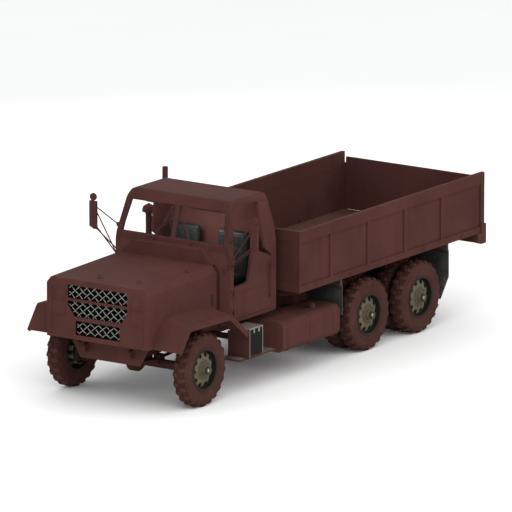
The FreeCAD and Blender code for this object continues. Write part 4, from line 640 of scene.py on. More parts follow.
def pick(piece: Piece, wanted: Callable[[Vector, Vector], bool]) -> None:
    """Selects faces of an open mesh.

    Args:
        piece: the piece that is open.
        wanted: whether a face is selected, from its centre and its normal.
    """
    bpy.ops.mesh.select_all(action="DESELECT")
    bpy.ops.object.mode_set(mode="OBJECT")
    for face in piece.data.polygons:
        face.select = wanted(face.center, face.normal)
    bpy.ops.object.mode_set(mode="EDIT")


def modify(piece: Piece, kind: str, **settings: object) -> Piece:
    """Adds a modifier and applies it.

    Args:
        piece: the piece to change.
        kind: the modifier's type.
        settings: the modifier's settings.

    Returns:
        The same piece.
    """
    modifier = piece.modifiers.new(kind.lower(), kind)
    for key, value in settings.items():
        setattr(modifier, key, value)
    only(piece)
    bpy.ops.object.modifier_apply(modifier=modifier.name)
    return piece


def soften(piece: Piece, width: float, segments: int = 2, angle: float = 35.0) -> Piece:
    """Rounds a piece's edges that are sharper than an angle."""
    limit = math.radians(angle)
    return modify(piece, "BEVEL", width=width, segments=segments, limit_method="ANGLE", angle_limit=limit)


def cube(low: Point, high: Point) -> Piece:
    """A sharp box between two corners."""
    bpy.ops.object.select_all(action="DESELECT")
    bpy.ops.mesh.primitive_cube_add(size=1.0, location=[(a + b) / 2 for a, b in zip(low, high)])
    piece = bpy.context.active_object
    piece.scale = [b - a for a, b in zip(low, high)]
    return settle(piece)


def block(low: Point, high: Point, edge: float = 0.003, segments: int = 2) -> Piece:
    """A box between two corners, its edges rounded by this much in so many faces."""
    return soften(cube(low, high), edge, segments)


def inset(piece: Piece, facing: Vector, thickness: float, depth: float) -> Piece:
    """Insets the faces that look one way.

    Args:
        piece: the piece to change.
        facing: the way that they look.
        thickness: how far their edges move in.
        depth: how far they then move out.

    Returns:
        The same piece.
    """
    shape(piece)
    pick(piece, lambda _, normal: normal.dot(facing) > 0.9)
    bpy.ops.mesh.inset(thickness=thickness, depth=depth)
    return close(piece)


def turned(
    profile: Sequence[tuple[float, float]], place: Point, facing: Vector, steps: int = 32, ring: bool = False
) -> Piece:
    """A round piece, drawn up ring by ring from a circle.

    Args:
        profile: (radius, height) of each ring; a radius of 0 closes the piece.
        place: the point of height 0 on the axis.
        facing: the direction in which height grows.
        steps: faces around.
        ring: whether the last ring meets the first, as on a hoop.

    Returns:
        The piece, its place in its mesh.
    """
    bpy.ops.object.select_all(action="DESELECT")
    first, *others = [(max(radius, 1e-5), height) for radius, height in profile]
    bpy.ops.mesh.primitive_circle_add(vertices=steps, radius=first[0], location=(0, 0, first[1]))
    piece = settle(bpy.context.active_object)
    bpy.ops.object.mode_set(mode="EDIT")
    bpy.ops.mesh.select_mode(type="VERT")
    bpy.ops.mesh.select_all(action="SELECT")
    last = first
    for radius, height in others + ([first] if ring else []):
        bpy.ops.mesh.extrude_edges_move(TRANSFORM_OT_translate={"value": (0, 0, height - last[1])})
        share = radius / last[0]
        bpy.ops.transform.resize(value=(share, share, 1), center_override=(0, 0, height))
        last = (radius, height)
    bpy.ops.mesh.select_all(action="SELECT")
    bpy.ops.mesh.remove_doubles(threshold=0.00004)
    bpy.ops.mesh.normals_make_consistent(inside=False)
    close(piece)
    piece.matrix_world = Matrix.Translation(place) @ facing.to_track_quat("Z", "Y").to_matrix().to_4x4()
    return settle(piece)


def rod(start: Point, end: Point, radius: float, steps: int = 16) -> Piece:
    """A round bar between two points, its ends chamfered."""
    way = Vector(end) - Vector(start)
    edge = min(0.0015, radius * 0.4)
    thin, run = radius - edge, way.length
    profile = [(0, 0), (thin, 0), (radius, edge), (radius, run - edge), (thin, run), (0, run)]
    return turned(profile, start, way, steps)


def hoop(
    radius: float, out: float, high: float, edge: float, place: Point, facing: Vector, steps: int = 40
) -> Piece:
    """A flat band round an axis, its outer edges chamfered.

    Args:
        radius: its inner radius.
        out: its thickness.
        high: its width along the axis.
        edge: the chamfer along the axis.
        place: the middle of its lower rim.
        facing: the axis.
        steps: faces around.

    Returns:
        The band.
    """
    profile = [(radius, 0), (radius + out, edge), (radius + out, high - edge), (radius, high)]
    return turned(profile, place, facing, steps, ring=True)


def pipe(points: Sequence[Point], radius: float, steps: int = 3) -> Piece:
    """A bent round bar.

    Args:
        points: its ends, and the corners that its bends cut short.
        radius: half its thickness.
        steps: faces of a quarter of its round, less one.

    Returns:
        The bar.
    """
    curve = bpy.data.curves.new("pipe", "CURVE")
    curve.dimensions = "3D"
    curve.bevel_depth = radius
    curve.bevel_resolution = steps
    curve.use_fill_caps = True
    spline = curve.splines.new("NURBS")
    spline.points.add(len(points) - 1)
    for point, place in zip(spline.points, points):
        point.co = (*place, 1.0)
    spline.order_u = 3
    spline.use_endpoint_u = True
    spline.resolution_u = 6
    piece = bpy.data.objects.new("pipe", curve)
    bpy.context.scene.collection.objects.link(piece)
    only(piece)
    bpy.ops.object.convert(target="MESH")
    return bpy.context.active_object


def copied(pattern: Piece, places: Iterable[Matrix], keep: bool = False) -> list[Piece]:
    """Copies a pattern, each copy with its own mesh.

    Args:
        pattern: the piece to copy.
        places: how each copy is moved; a mirrored one has its faces turned back out.
        keep: whether the pattern itself stays.

    Returns:
        The copies.
    """
    made = []
    for place in places:
        twin = pattern.copy()
        twin.data = pattern.data.copy()
        twin.data.transform(place)
        if place.determinant() < 0:
            twin.data.flip_normals()
        bpy.context.scene.collection.objects.link(twin)
        made.append(twin)
    if not keep:
        bpy.data.objects.remove(pattern)
    return made


def joined(name: str, pieces: Sequence[Piece]) -> Piece:
    """Joins pieces into one of this name."""
    only(*pieces)
    if len(pieces) > 1:
        bpy.ops.object.join()
    piece = bpy.context.active_object
    piece.name = piece.data.name = name
    return piece


def around(centre: Point, facing: Vector, count: int, start: float = 0.0) -> list[Matrix]:
    """Turns about an axis through a centre, evenly spread."""
    there, back = Matrix.Translation(centre), Matrix.Translation([-c for c in centre])
    return [there @ Matrix.Rotation(start + math.tau * i / count, 4, facing) @ back for i in range(count)]


def moved(*offsets: Point) -> list[Matrix]:
    """Plain moves."""
    return [Matrix.Translation(offset) for offset in offsets]


MIRROR_X = Matrix.Scale(-1, 4, (1, 0, 0))
BOTH_SIDES = (Matrix.Identity(4), MIRROR_X)


def bolt(radius: float, place: Point, facing: Vector, height: float | None = None) -> Piece:
    """A hexagon bolt head on a round washer."""
    high = height or radius * 0.7
    low, wide = high * 0.2, radius * 1.3
    washer = turned([(0, 0), (wide, 0), (wide, low), (0, low)], place, facing, 12)
    head = turned([(radius, low), (radius, high * 0.85), (radius * 0.86, high), (0, high)], place, facing, 6)
    return joined("bolt", [washer, head])


def bolts(radius: float, spots: Sequence[Point], facing: Vector) -> Piece:
    """Hexagon heads at these places, joined."""
    return joined("bolts", copied(bolt(radius, (0, 0, 0), facing), moved(*spots)))


def rivets(radius: float, spots: Sequence[Point], facing: Vector) -> Piece:
    """Domed rivet heads at these places, joined."""
    dome = [(radius, 0), (radius * 0.86, radius * 0.28), (radius * 0.5, radius * 0.48), (0, radius * 0.54)]
    return joined("rivets", copied(turned(dome, (0, 0, 0), facing, 10), moved(*spots)))


def line(start: Point, end: Point, count: int) -> list[Point]:
    """Evenly spread points from start to end."""
    return [tuple(Vector(start).lerp(Vector(end), i / max(1, count - 1))) for i in range(count)]


def put(
    name: str,
    pieces: Sequence[Piece],
    look: Look,
    body: str = "chassis",
    both: bool = False,
    angle: float = 40.0,
) -> Piece:
    """Joins pieces into one of the scene's and finishes it.

    Args:
        name: the piece's name.
        pieces: what it is joined from.
        look: the look that it takes its material from.
        body: the body that it moves with.
        both: whether its mirrored copy is joined to it.
        angle: edges sharper than this stay sharp.

    Returns:
        The piece.
    """
    piece = joined(name, pieces)
    if both:
        piece = joined(name, copied(piece, BOTH_SIDES))
    only(piece)
    bpy.ops.object.shade_smooth_by_angle(angle=math.radians(angle))
    piece.data.materials.clear()
    piece.data.materials.append(material(look))
    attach(piece, body)
    LOG.info("%s: %d faces on %s", name, len(piece.data.polygons), body)
    return piece


def put_sides(
    name: str, pieces: Sequence[Piece], look: Look, body: str = "chassis", angle: float = 40.0
) -> list[Piece]:
    """Puts left-hand pieces, and their mirrored copies, as a piece on each side.

    Args:
        name: the two pieces' name, with {} for the side.
        pieces: what the left one is joined from.
        look: their look.
        body: the body that each moves with, with {} for the side.
        angle: edges sharper than this stay sharp.

    Returns:
        The left and the right piece.
    """
    halves = zip(("left", "right"), copied(joined(name, pieces), BOTH_SIDES))
    return [put(name.format(side), [half], look, body.format(side), angle=angle) for side, half in halves]


class Part(Protocol):
    """A group of pieces of the scene."""

    def build(self) -> None:
        """Makes the pieces."""


@dataclass(frozen=True)
class Studio:
    """The pale floor, the soft lights and the camera of the photograph."""

    azimuth: float = 34.53
    elevation: float = 13.05
    distance: float = 179.3
    pixels_per_metre: float = 68.83
    frame_pixels: float = 512.0
    sensor: float = 36.0
    aim: Point = (0.0, -0.13635, 1.35)
    aside: float = -0.004
    above: float = 0.12

    def camera(self) -> None:
        """Adds the camera at the photograph's angle."""
        turn, lift = math.radians(self.azimuth), math.radians(self.elevation)
        right = Vector((math.cos(turn), math.sin(turn), 0.0))
        back = Vector((math.sin(turn) * math.cos(lift), -math.cos(turn) * math.cos(lift), math.sin(lift)))
        up = back.cross(right)
        data = bpy.data.cameras.new("camera")
        data.sensor_width = self.sensor
        data.lens = self.sensor * self.distance * self.pixels_per_metre / self.frame_pixels
        data.clip_start, data.clip_end = 10.0, 2000.0
        camera = bpy.data.objects.new("camera", data)
        bpy.context.scene.collection.objects.link(camera)
        spot = Vector(self.aim) + right * self.aside + up * self.above + back * self.distance
        camera.matrix_world = Matrix.Translation(spot) @ Matrix((right, up, back)).transposed().to_4x4()
        bpy.context.scene.camera = camera

    def light(self, name: str, spot: Point, size: float, power: float, aim: Point = (0, 0, 1.0)) -> None:
        """Adds one soft square light that looks at a place, the truck's middle unless another is given."""
        data = bpy.data.lights.new(name, "AREA")
        data.shape, data.size, data.energy = "SQUARE", size, power
        lamp = bpy.data.objects.new(name, data)
        bpy.context.scene.collection.objects.link(lamp)
        way = Vector(spot) - Vector(aim)
        lamp.matrix_world = Matrix.Translation(spot) @ way.to_track_quat("Z", "Y").to_matrix().to_4x4()

    def floor(self) -> None:
        """Adds the pale floor, with a faint unevenness in its tone."""
        bpy.ops.object.select_all(action="DESELECT")
        bpy.ops.mesh.primitive_plane_add(size=400.0, location=(0, 0, -0.001))
        plane = joined("studio_floor", [bpy.context.active_object])
        shader = Shader("studio_floor")
        colour = shader.mix(shader.noise(0.4, 3.0), (0.9, 0.9, 0.89), (0.93, 0.93, 0.92))
        plane.data.materials.append(shader.surface(colour, 0.85, Specular_IOR_Level=0.1))
        settle(plane)

    def build(self) -> None:
        """Sets up the whole studio."""
        scene = bpy.context.scene
        scene.view_settings.view_transform = "Standard"
        world = scene.world or bpy.data.worlds.new("studio")
        scene.world = world
        world.use_nodes = True
        sky = world.node_tree.nodes["Background"]
        sky.inputs["Color"].default_value = (0.98, 0.99, 1.0, 1.0)
        sky.inputs["Strength"].default_value = 1.02
        self.floor()
        self.light("key_light", (7.0, -13.0, 11.0), 9.0, 980.0)
        self.light("side_light", (14.0, 4.0, 8.0), 9.0, 600.0)
        self.light("top_light", (-3.0, 2.0, 14.0), 12.0, 120.0)
        self.light("back_light", (-11.0, 10.0, 7.0), 8.0, 320.0)
        self.light("cab_light", (0.0, row(2.2), 2.5), 0.42, 15.0, (0.0, row(2.98), 1.8))
        self.camera()


@dataclass(frozen=True)
class Tyres:
    """Ten cross-country tyres with cross bars, two to each rear wheel body."""

    bead: float = 0.313
    half_width: float = 0.115
    groove: float = 0.519
    crown: float = 0.54
    bars: int = 22
    bar_half: float = 0.033
    bar_slant: float = 9.0
    twin_turn: float = 0.4

    def carcass(self) -> Piece:
        """The tyre's body, turned about X at the origin, with its moulded rings."""
        wide, groove = self.half_width, self.groove
        half = [
            (self.bead, 0.101), (self.bead + 0.014, 0.108), (0.345, 0.1105), (0.349, 0.115), (0.357, 0.1155),
            (0.361, 0.112), (0.403, wide), (0.428, wide), (0.432, 0.1172), (0.44, 0.1172), (0.444, wide),
            (0.458, 0.1145), (0.49, 0.106), (0.509, 0.09), (groove, 0.06), (groove + 0.001, 0),
        ]
        mirrored = [(radius, -side) for radius, side in reversed(half[:-1])]
        return turned(half + mirrored, (0, 0, 0), LEFT, 80, ring=True)

    def bar(self) -> Piece:
        """One cross bar of the tread, from the middle over the left shoulder."""
        bar = cube((0.008, -self.bar_half, self.groove - 0.012), (0.076, self.bar_half, self.crown))
        shape(bar)
        pick(bar, lambda centre, normal: normal.x > 0.9)
        bpy.ops.mesh.extrude_region_move(TRANSFORM_OT_translate={"value": (0.026, 0, -0.02)})
        bpy.ops.mesh.extrude_region_move(TRANSFORM_OT_translate={"value": (0.01, 0, -0.04)})
        bpy.ops.transform.resize(value=(1, 0.8, 0.7))
        pick(bar, lambda centre, normal: normal.z > 0.6 and centre.x < 0.08)
        bpy.ops.transform.resize(value=(1, 0.84, 1))
        soften(close(bar), 0.003, 1, 25.0)
        bar.matrix_world = Matrix.Rotation(math.radians(self.bar_slant), 4, "Z")
        return settle(bar)

    def build(self) -> None:
        """Makes the ten tyres, which stand for the plain ones; a tyre's points know how far out they lie."""
        turns = around((0, 0, 0), LEFT, self.bars)
        half_step = Matrix.Rotation(math.pi / self.bars, 4, "X")
        right = copied(self.bar(), [turn @ half_step @ MIRROR_X for turn in turns])
        pattern = joined("tyre", [self.carcass(), *copied(self.bar(), turns), *right])
        reach = pattern.data.attributes.new("reach", "FLOAT", "POINT")
        for vertex, value in zip(pattern.data.vertices, reach.data):
            value.value = math.hypot(vertex.co.y, vertex.co.z)
        for corner, (axle, side, places) in CORNERS.items():
            spots = [Matrix.Translation((side * x, row(axle), WHEEL_Z)) @ Matrix.Rotation(twist, 4, "X")
                     for x, twist in zip(places, (0.0, self.twin_turn))]
            tyres = copied(pattern, spots, keep=True)
            tyre = put(f"road_tyre_{corner}", tyres, Look.TYRE, f"wheel_{corner}", angle=30.0)
            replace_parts(tyre, f"tyre_{corner}")
        bpy.data.objects.remove(pattern)


@dataclass(frozen=True)
class WheelTrim:
    """Nuts, hub bolts, lock rings and valves on the outer face of each wheel."""

    disc_x: float = 1.181
    nut_circle: float = 0.137
    nuts: int = 10
    nut_turn: float = 0.31
    nut_size: float = 0.0165
    stud: float = 0.0095
    cap_x: float = 1.229
    cap_circle: float = 0.06
    cap_bolts: int = 8

    def nut(self) -> Piece:
        """One wheel nut with its stud's end standing out of it."""
        place, size, thin = (self.disc_x, 0, WHEEL_Z + self.nut_circle), self.nut_size, self.stud
        return joined("nut", [
            turned([(0, 0), (size * 1.35, 0), (size * 1.2, 0.004), (0, 0.004)], place, LEFT, 14),
            turned([(size, 0.003), (size, 0.017), (size * 0.86, 0.02), (thin, 0.02)], place, LEFT, 6),
            turned([(thin, 0.015), (thin, 0.031), (0.0075, 0.034), (0, 0.034)], place, LEFT, 12),
        ])

    def build(self) -> None:
        """Adds the trim to all six wheel bodies."""
        centre = (0, 0, WHEEL_Z)
        cap_bolt = bolt(0.0065, (self.cap_x, 0, WHEEL_Z + self.cap_circle), LEFT)
        groups = {
            "wheel_nuts": (None, [*copied(self.nut(), around(centre, LEFT, self.nuts, self.nut_turn)),
                                  *copied(cap_bolt, around(centre, LEFT, self.cap_bolts))]),
            "lock_ring": (Look.BLACK, [turned([
                (0.284, 0), (0.306, 0), (0.309, 0.003), (0.309, 0.008), (0.298, 0.011), (0.284, 0.009),
            ], (1.209, 0, WHEEL_Z), LEFT, 64, ring=True)]),
            "hub_dome": (None, [
                turned([(0.052, 0), (0.05, 0.006), (0.034, 0.013), (0.016, 0.0155), (0, 0.016)],
                       (1.25, 0, WHEEL_Z), LEFT, 36),
                turned([(0.078, 0), (0.1, 0), (0.104, 0.004), (0.1, 0.012), (0.079, 0.016)],
                       (self.disc_x, 0, WHEEL_Z), LEFT, 40)]),
            "tyre_valve": (Look.GRIP, [
                rod((1.187, 0, WHEEL_Z + 0.262), (1.222, 0, WHEEL_Z + 0.25), 0.005, 10),
                turned([(0, 0), (0.0072, 0), (0.0072, 0.012), (0.005, 0.015), (0, 0.015)],
                       (1.216, 0, WHEEL_Z + 0.2525), Vector((0.95, 0, -0.3)), 10)]),
        }
        for name, (look, pieces) in groups.items():
            pattern = joined(name, pieces)
            for corner, (axle, side, _) in CORNERS.items():
                place = BOTH_SIDES[side < 0] @ Matrix.Translation((0, row(axle), 0))
                twin = copied(pattern, [place], keep=True)
                put(f"{name}_{corner}", twin, look or RIM_LOOKS[corner], f"wheel_{corner}", angle=35.0)
            bpy.data.objects.remove(pattern)


@dataclass(frozen=True)
class Headlamps:
    """A round lamp in each front bay: housing, rim, bright bowl, bulb, painted glass and screws."""

    rim: float = 0.106
    bucket: float = 0.086
    depth: float = 0.095

    def build(self) -> None:
        """Makes both lamps, which stand for the plain ones."""
        low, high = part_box("headlamps")
        x, y, z = spot = (high.x - self.rim, low.y, (low.z + high.z) / 2)
        r = self.bucket
        turnings = (
            ("lamp_housing", Look.BODY, 48, False, [
                (self.rim, 0.01), (self.rim, 0.0118), (r, 0.012), (r, 0.05), (r * 0.82, 0.078),
                (r * 0.5, self.depth), (0, self.depth)]),
            ("lamp_rim", Look.BODY, 56, True, [
                (0.078, 0.004), (0.082, 0.0005), (0.09, 0.0), (0.101, 0.0018), (self.rim, 0.006),
                (self.rim, 0.0105), (0.086, 0.0108), (0.078, 0.01)]),
            ("lamp_bowl", Look.BOWL, 48, False, [
                (0.08, 0.011), (0.073, 0.026), (0.06, 0.044), (0.04, 0.058), (0.016, 0.066), (0, 0.067)]),
            ("lamp_glass", Look.LENS, 48, False, [
                (0.0795, 0.0085), (0.06, 0.004), (0.04, 0.002), (0.02, 0.0009), (0, 0.0006)]),
            ("lamp_bulb", Look.GLASS, 20, False, [
                (0, 0.028), (0.008, 0.031), (0.0115, 0.038), (0.009, 0.05), (0.007, 0.068)]),
        )
        for name, look, steps, ring, profile in turnings:
            lamp = put(name, [turned(profile, spot, REAR, steps, ring)], look, "hood", both=True)
            if name == "lamp_housing":
                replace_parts(lamp, "headlamps")
        screw = bolt(0.0048, (x, y + 0.0035, z + 0.0975), FRONT, 0.003)
        put("lamp_screws", copied(screw, around(spot, REAR, 6, 0.5)), Look.BODY, "hood", both=True)


@dataclass(frozen=True)
class HoodTrim:
    """Raised beads round the lamp bays, straps, eyes and rivets on the tilting hood."""

    bead: float = 0.0055
    proud: float = 0.007
    bay: tuple[float, float] = (0.56, 0.795)
    levels: tuple[float, ...] = (1.29, 1.508, 1.708)
    bottom: float = 1.002
    skin: float = 0.8856
    strap: Point = (0.889, row(1.6), 1.4)

    def beads(self) -> None:
        """The beads about both lamp bays."""
        b, (inner, outer), (low, middle, high) = self.bead, self.bay, self.levels
        strips = ((outer - b, outer + b, self.bottom, high), (inner, outer, middle - b, middle + b),
                  (inner, outer, low - b, low + b), (inner - b, inner + b, low, middle))
        front, back = NOSE_Y - self.proud, NOSE_Y + 0.002
        made = [block((x0, front, z0), (x1, back, z1), 0.0022) for x0, x1, z0, z1 in strips]
        put("hood_beads", made, Look.BODY, "hood", both=True)

    def straps(self) -> None:
        """A rubber strap with its hook and plate at each rear corner."""
        x, y, z = self.strap
        plate = block((x - 0.003, y - 0.024, z - 0.085), (x + 0.003, y + 0.024, z - 0.03), 0.0012, 1)
        strap = block((x + 0.001, y - 0.013, z - 0.06), (x + 0.015, y + 0.013, z + 0.07), 0.0045, 3)
        hook = rod((x + 0.01, y - 0.024, z + 0.058), (x + 0.01, y + 0.024, z + 0.058), 0.0055, 12)
        put("hood_straps", [plate, inset(strap, LEFT, 0.004, -0.002), hook], Look.SEAL, "hood", both=True)

    def eyes(self) -> None:
        """Low lifting eyes on the hood's top."""
        made = []
        for x, station, z in ((0.51, 0.32, 1.8474), (-0.13, 0.26, 1.846), (0.73, 1.19, 1.8678)):
            y = row(station)
            made.append(block((x - 0.045, y - 0.02, z), (x + 0.045, y + 0.02, z + 0.007), 0.002))
            bends = ((-0.03, 0.004), (-0.03, 0.034), (0.03, 0.034), (0.03, 0.004))
            made.append(pipe([(x + aside, y, z + rise) for aside, rise in bends], 0.006))
        put("hood_eyes", made, Look.BODY, "hood")

    def build(self) -> None:
        """Adds the trim to the hood."""
        self.beads()
        self.straps()
        self.eyes()
        x = self.skin
        side = line((x, row(0.06), 1.06), (x, row(0.3), 1.06), 4)
        side += line((x, row(0.06), 1.62), (x, row(1.62), 1.62), 15)
        face = NOSE_Y - 0.0004
        front = line((-0.76, face, 0.985), (0.76, face, 0.985), 15)
        front += line((-0.5, face, 1.775), (0.5, face, 1.775), 11)
        both = copied(rivets(0.0065, side, LEFT), BOTH_SIDES)
        put("hood_rivets", [*both, rivets(0.0058, front, FRONT)], Look.BODY, "hood")


@dataclass(frozen=True)
class Seats:
    """Two bucket seats: padded cushions and backs with sewn channels and piping, blown up as cloth."""

    inner: float = 0.145
    outer: float = 0.71
    back_station: float = 2.75
    cushion_height: float = 0.13
    start: float = 0.013
    voxel: float = 0.009
    cap: float = 0.016
    pressure: float = 4.0
    frames: int = 20
    channels: int = 5
    channel_depth: float = 0.007
    sewn: tuple[float, float] = (0.76, 0.78)
    border_seam: float = 0.006
    channel_seam: float = 0.0065

    def pad(self, low: Vector, high: Vector) -> Piece:
        """A slightly smaller shape, swelled as cloth, with each point held within the cap."""
        low, high = [value + self.start for value in low], [value - self.start for value in high]
        pad = block(low, high, min(b - a for a, b in zip(low, high)) * 0.36, 4)
        modify(pad, "REMESH", mode="VOXEL", voxel_size=self.voxel)
        before = [vertex.co.copy() for vertex in pad.data.vertices]
        cloth = pad.modifiers.new("cloth", "CLOTH")
        cloth.settings.use_pressure = True
        cloth.settings.uniform_pressure_force = self.pressure
        cloth.settings.effector_weights.gravity = 0.0
        cloth.point_cache.frame_start, cloth.point_cache.frame_end = 1, self.frames
        for frame in range(1, self.frames + 1):
            bpy.context.scene.frame_set(frame)
        only(pad)
        bpy.ops.object.modifier_apply(modifier=cloth.name)
        bpy.context.scene.frame_set(1)
        for vertex, start in zip(pad.data.vertices, before):
            way = vertex.co - start
            if way.length > self.cap:
                vertex.co = start + way.normalized() * self.cap
        return modify(pad, "SUBSURF", levels=1, render_levels=1)

    def sew(self, pad: Piece, low: Vector, high: Vector, facing: Vector) -> Piece:
        """Presses sewn channels and a border seam into the face that looks one way."""
        along = facing.cross(LEFT)
        middle, half = (low + high) / 2, (high - low) / 2
        half_a, half_b = half.dot(LEFT), abs(half.dot(along))
        share_a, share_b = self.sewn
        for vertex, normal in zip(pad.data.vertices, [v.normal.copy() for v in pad.data.vertices]):
            share = normal.dot(facing)
            if share < 0.3:
                continue
            a, b = (vertex.co - middle).dot(LEFT), (vertex.co - middle).dot(along)
            border = max(abs(a) - half_a * share_a, abs(b) - half_b * share_b)
            press = math.exp(-(border / self.border_seam) ** 2)
            if border < 0:
                place = (a / (half_a * share_a) + 1) / 2 * self.channels
                gap = abs(place - round(place)) / self.channels * half_a * (share_a * 2)
                press = max(press, math.exp(-(gap / self.channel_seam) ** 2) * 0.9)
            vertex.co -= facing * (press * share * self.channel_depth)
        return pad

    def build(self) -> None:
        """Makes both seats, which stand for the plain ones."""
        floor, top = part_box("seats")
        back_y, in_edge = row(self.back_station), 0.012
        low = Vector((self.inner, floor.y, floor.z))
        high = Vector((self.outer, back_y - 0.002, floor.z + self.cushion_height))
        cushion = self.sew(self.pad(low, high), low, high, UP)
        x0, x1, y0, y1 = low.x + in_edge, high.x - in_edge, low.y + in_edge, high.y - in_edge
        z = low.z + self.cushion_height / 2
        middle = (x0, (y0 + y1) / 2, z)
        welt = pipe([middle, (x0, y0, z), (x1, y0, z), (x1, y1, z), (x0, y1, z), middle], 0.0045, 2)
        low, high = Vector((self.inner, back_y, floor.z + 0.006)), Vector((self.outer, top.y, top.z))
        back = self.sew(self.pad(low, high), low, high, FRONT)
        for name, piece in (("seat_cushion_{}", cushion), ("seat_back_{}", back)):
            for half in put_sides(name, [piece], Look.SEAT, angle=60.0):
                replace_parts(half, "seats")
        put_sides("seat_welt_{}", [welt], Look.SEAT, angle=60.0)


@dataclass(frozen=True)
class Cockpit:
    """Gauges, switches, levers, pedals, mats and visors inside the cab."""

    face: Point = (0.428, row(2.0675), 1.862)
    dials: tuple[tuple[float, float], ...] = (
        (-0.145, 0.046), (-0.045, 0.046), (0.035, 0.026), (0.095, 0.026), (0.155, 0.026))
    toggles: int = 6
    toggle_pitch: float = 0.036

    def gauges(self) -> None:
        """The instrument panel with five gauges and a switch row, and the glove box."""
        x, y, z = self.face
        front = y + 0.006
        plate = block((x - 0.235, y - 0.002, z - 0.062), (x + 0.235, front, z + 0.062))
        corners = [(x + a, front, z + b) for a in (-0.225, 0.225) for b in (-0.053, 0.053)]
        put("instrument_panel", [plate, bolts(0.0035, corners, REAR)], Look.BLACK)
        rims, faces, marks = [], [], []
        for aside, r in self.dials:
            spot = (x + aside, front, z + 0.008)
            inner = r * 0.86
            frame = [(r, 0), (r, 0.006), (r * 0.93, 0.009), (inner, 0.006), (inner, 0.001), (r * 0.9, 0)]
            rims.append(turned(frame, spot, REAR, 36, ring=True))
            faces.append(turned([(r * 0.88, 0.0005), (r * 0.88, 0.0022), (0, 0.0022)], spot, REAR, 36))
            place, turns = Matrix.Translation(spot), around((0, 0, 0), REAR, 14)
            tick = block((-0.0008, 0.002, r * 0.66), (0.0008, 0.003, r * 0.82), 0.0002, 1)
            marks += copied(tick, [place @ turn for turn in turns[:6] + turns[9:]])
            needle = block((-0.0011, 0.0034, r * -0.16), (0.0011, 0.0042, r * 0.66), 0.0004, 1)
            marks += copied(needle, [place @ around((0, 0, 0), REAR, 9)[5]])
        put("gauge_rims", rims, Look.STEEL)
        put("gauge_faces", faces, Look.DIAL)
        put("gauge_marks", marks, Look.MARKS)
        toggles = []
        nut = [(0.007, 0), (0.007, 0.003), (0.004, 0.004), (0, 0.004)]
        for i in range(self.toggles):
            aside = x + 0.005 + i * self.toggle_pitch
            toggles.append(turned(nut, (aside, front, z - 0.042), REAR, 12))
            toggles.append(rod((aside, y + 0.009, z - 0.042), (aside, y + 0.026, z - 0.05), 0.0024, 10))
        put("toggle_switches", toggles, Look.STEEL)
        lid = inset(block((-0.72, y - 0.003, 1.8), (-0.28, front, 1.922), 0.006, 3), REAR, 0.012, -0.003)
        knob = turned([(0.008, 0), (0.008, 0.006), (0.014, 0.01), (0.014, 0.018), (0, 0.02)],
                      (-0.5, y + 0.004, 1.895), REAR, 20)
        put("glove_box", [lid, knob], Look.BODY)

    def controls(self) -> None:
        """Pedals, floor levers, the wheel's boss and the column stalk."""
        pads, arms = [], []
        for x, width, z in ((0.3, 0.058, 1.175), (0.428, 0.064, 1.175), (0.556, 0.046, 1.15)):
            pad = block((x - width / 2, row(2.055), z - 0.045), (x + width / 2, row(2.067), z + 0.045))
            pads.append(inset(pad, REAR, 0.006, 0.002))
            bends = ((1.92, 0.26), (2.0, 0.24), (2.05, 0.1), (2.056, 0))
            arms.append(pipe([(x, row(y), z + up) for y, up in bends], 0.008))
        put("pedal_pads", pads, Look.SEAL)
        levers = (
            (0.02, 0.01, ((2.4, 1.02), (2.4, 1.25), (2.36, 1.5), (2.35, 1.575))),
            (-0.06, 0.008, ((2.47, 1.02), (2.47, 1.2), (2.45, 1.36))),
            (0.105, 0.009, ((2.52, 1.02), (2.5, 1.15), (2.42, 1.3))),
        )
        sticks = [pipe([(x, row(y), z) for y, z in bends], radius) for x, radius, bends in levers]
        put("floor_levers", sticks + arms, Look.BLACK)
        ball = [(0.01, 0), (0.02, 0.008), (0.026, 0.022), (0.024, 0.036), (0.014, 0.046), (0, 0.048)]
        small = [(r * 0.72, h * 0.72) for r, h in ball]
        knobs = [turned(ball, (0.02, row(2.35), 1.56), UP, 24)]
        knobs.append(turned(small, (-0.06, row(2.45), 1.35), UP, 24))
        put("lever_knobs", knobs, Look.GRIP)
        folds = [(0.075 - 0.012 * i + 0.006 * j, 0.018 * i + 0.009 * j) for i in range(4) for j in range(2)]
        folds += [(0.012, 0.085), (0, 0.085)]
        boots = [turned(folds, (x, row(bends[0][0]), 1.027), UP, 24) for x, _, bends in levers]
        put("lever_boots", boots, Look.SEAL)
        axis, hub = Vector((0, 0.62, 0.785)).normalized(), Vector((0.428, row(2.27), 1.8))
        profile = [(0.046, -0.018), (0.05, 0.0), (0.046, 0.016), (0.03, 0.026), (0.012, 0.029), (0, 0.029)]
        boss = turned(profile, tuple(hub), axis, 36)
        root, ways = hub - axis * 0.1, ((0, 0, 0), (0.07, 0.0, 0.01), (0.13, 0.01, 0.03))
        stalk = pipe([tuple(root + Vector(way)) for way in ways], 0.006)
        profile = [(0.03, 0), (0.034, 0.004), (0.034, 0.036), (0.03, 0.04)]
        clamp = turned(profile, tuple(hub - axis * 0.12), axis, 28)
        put("column_trim", [boss, stalk, clamp], Look.GRIP)

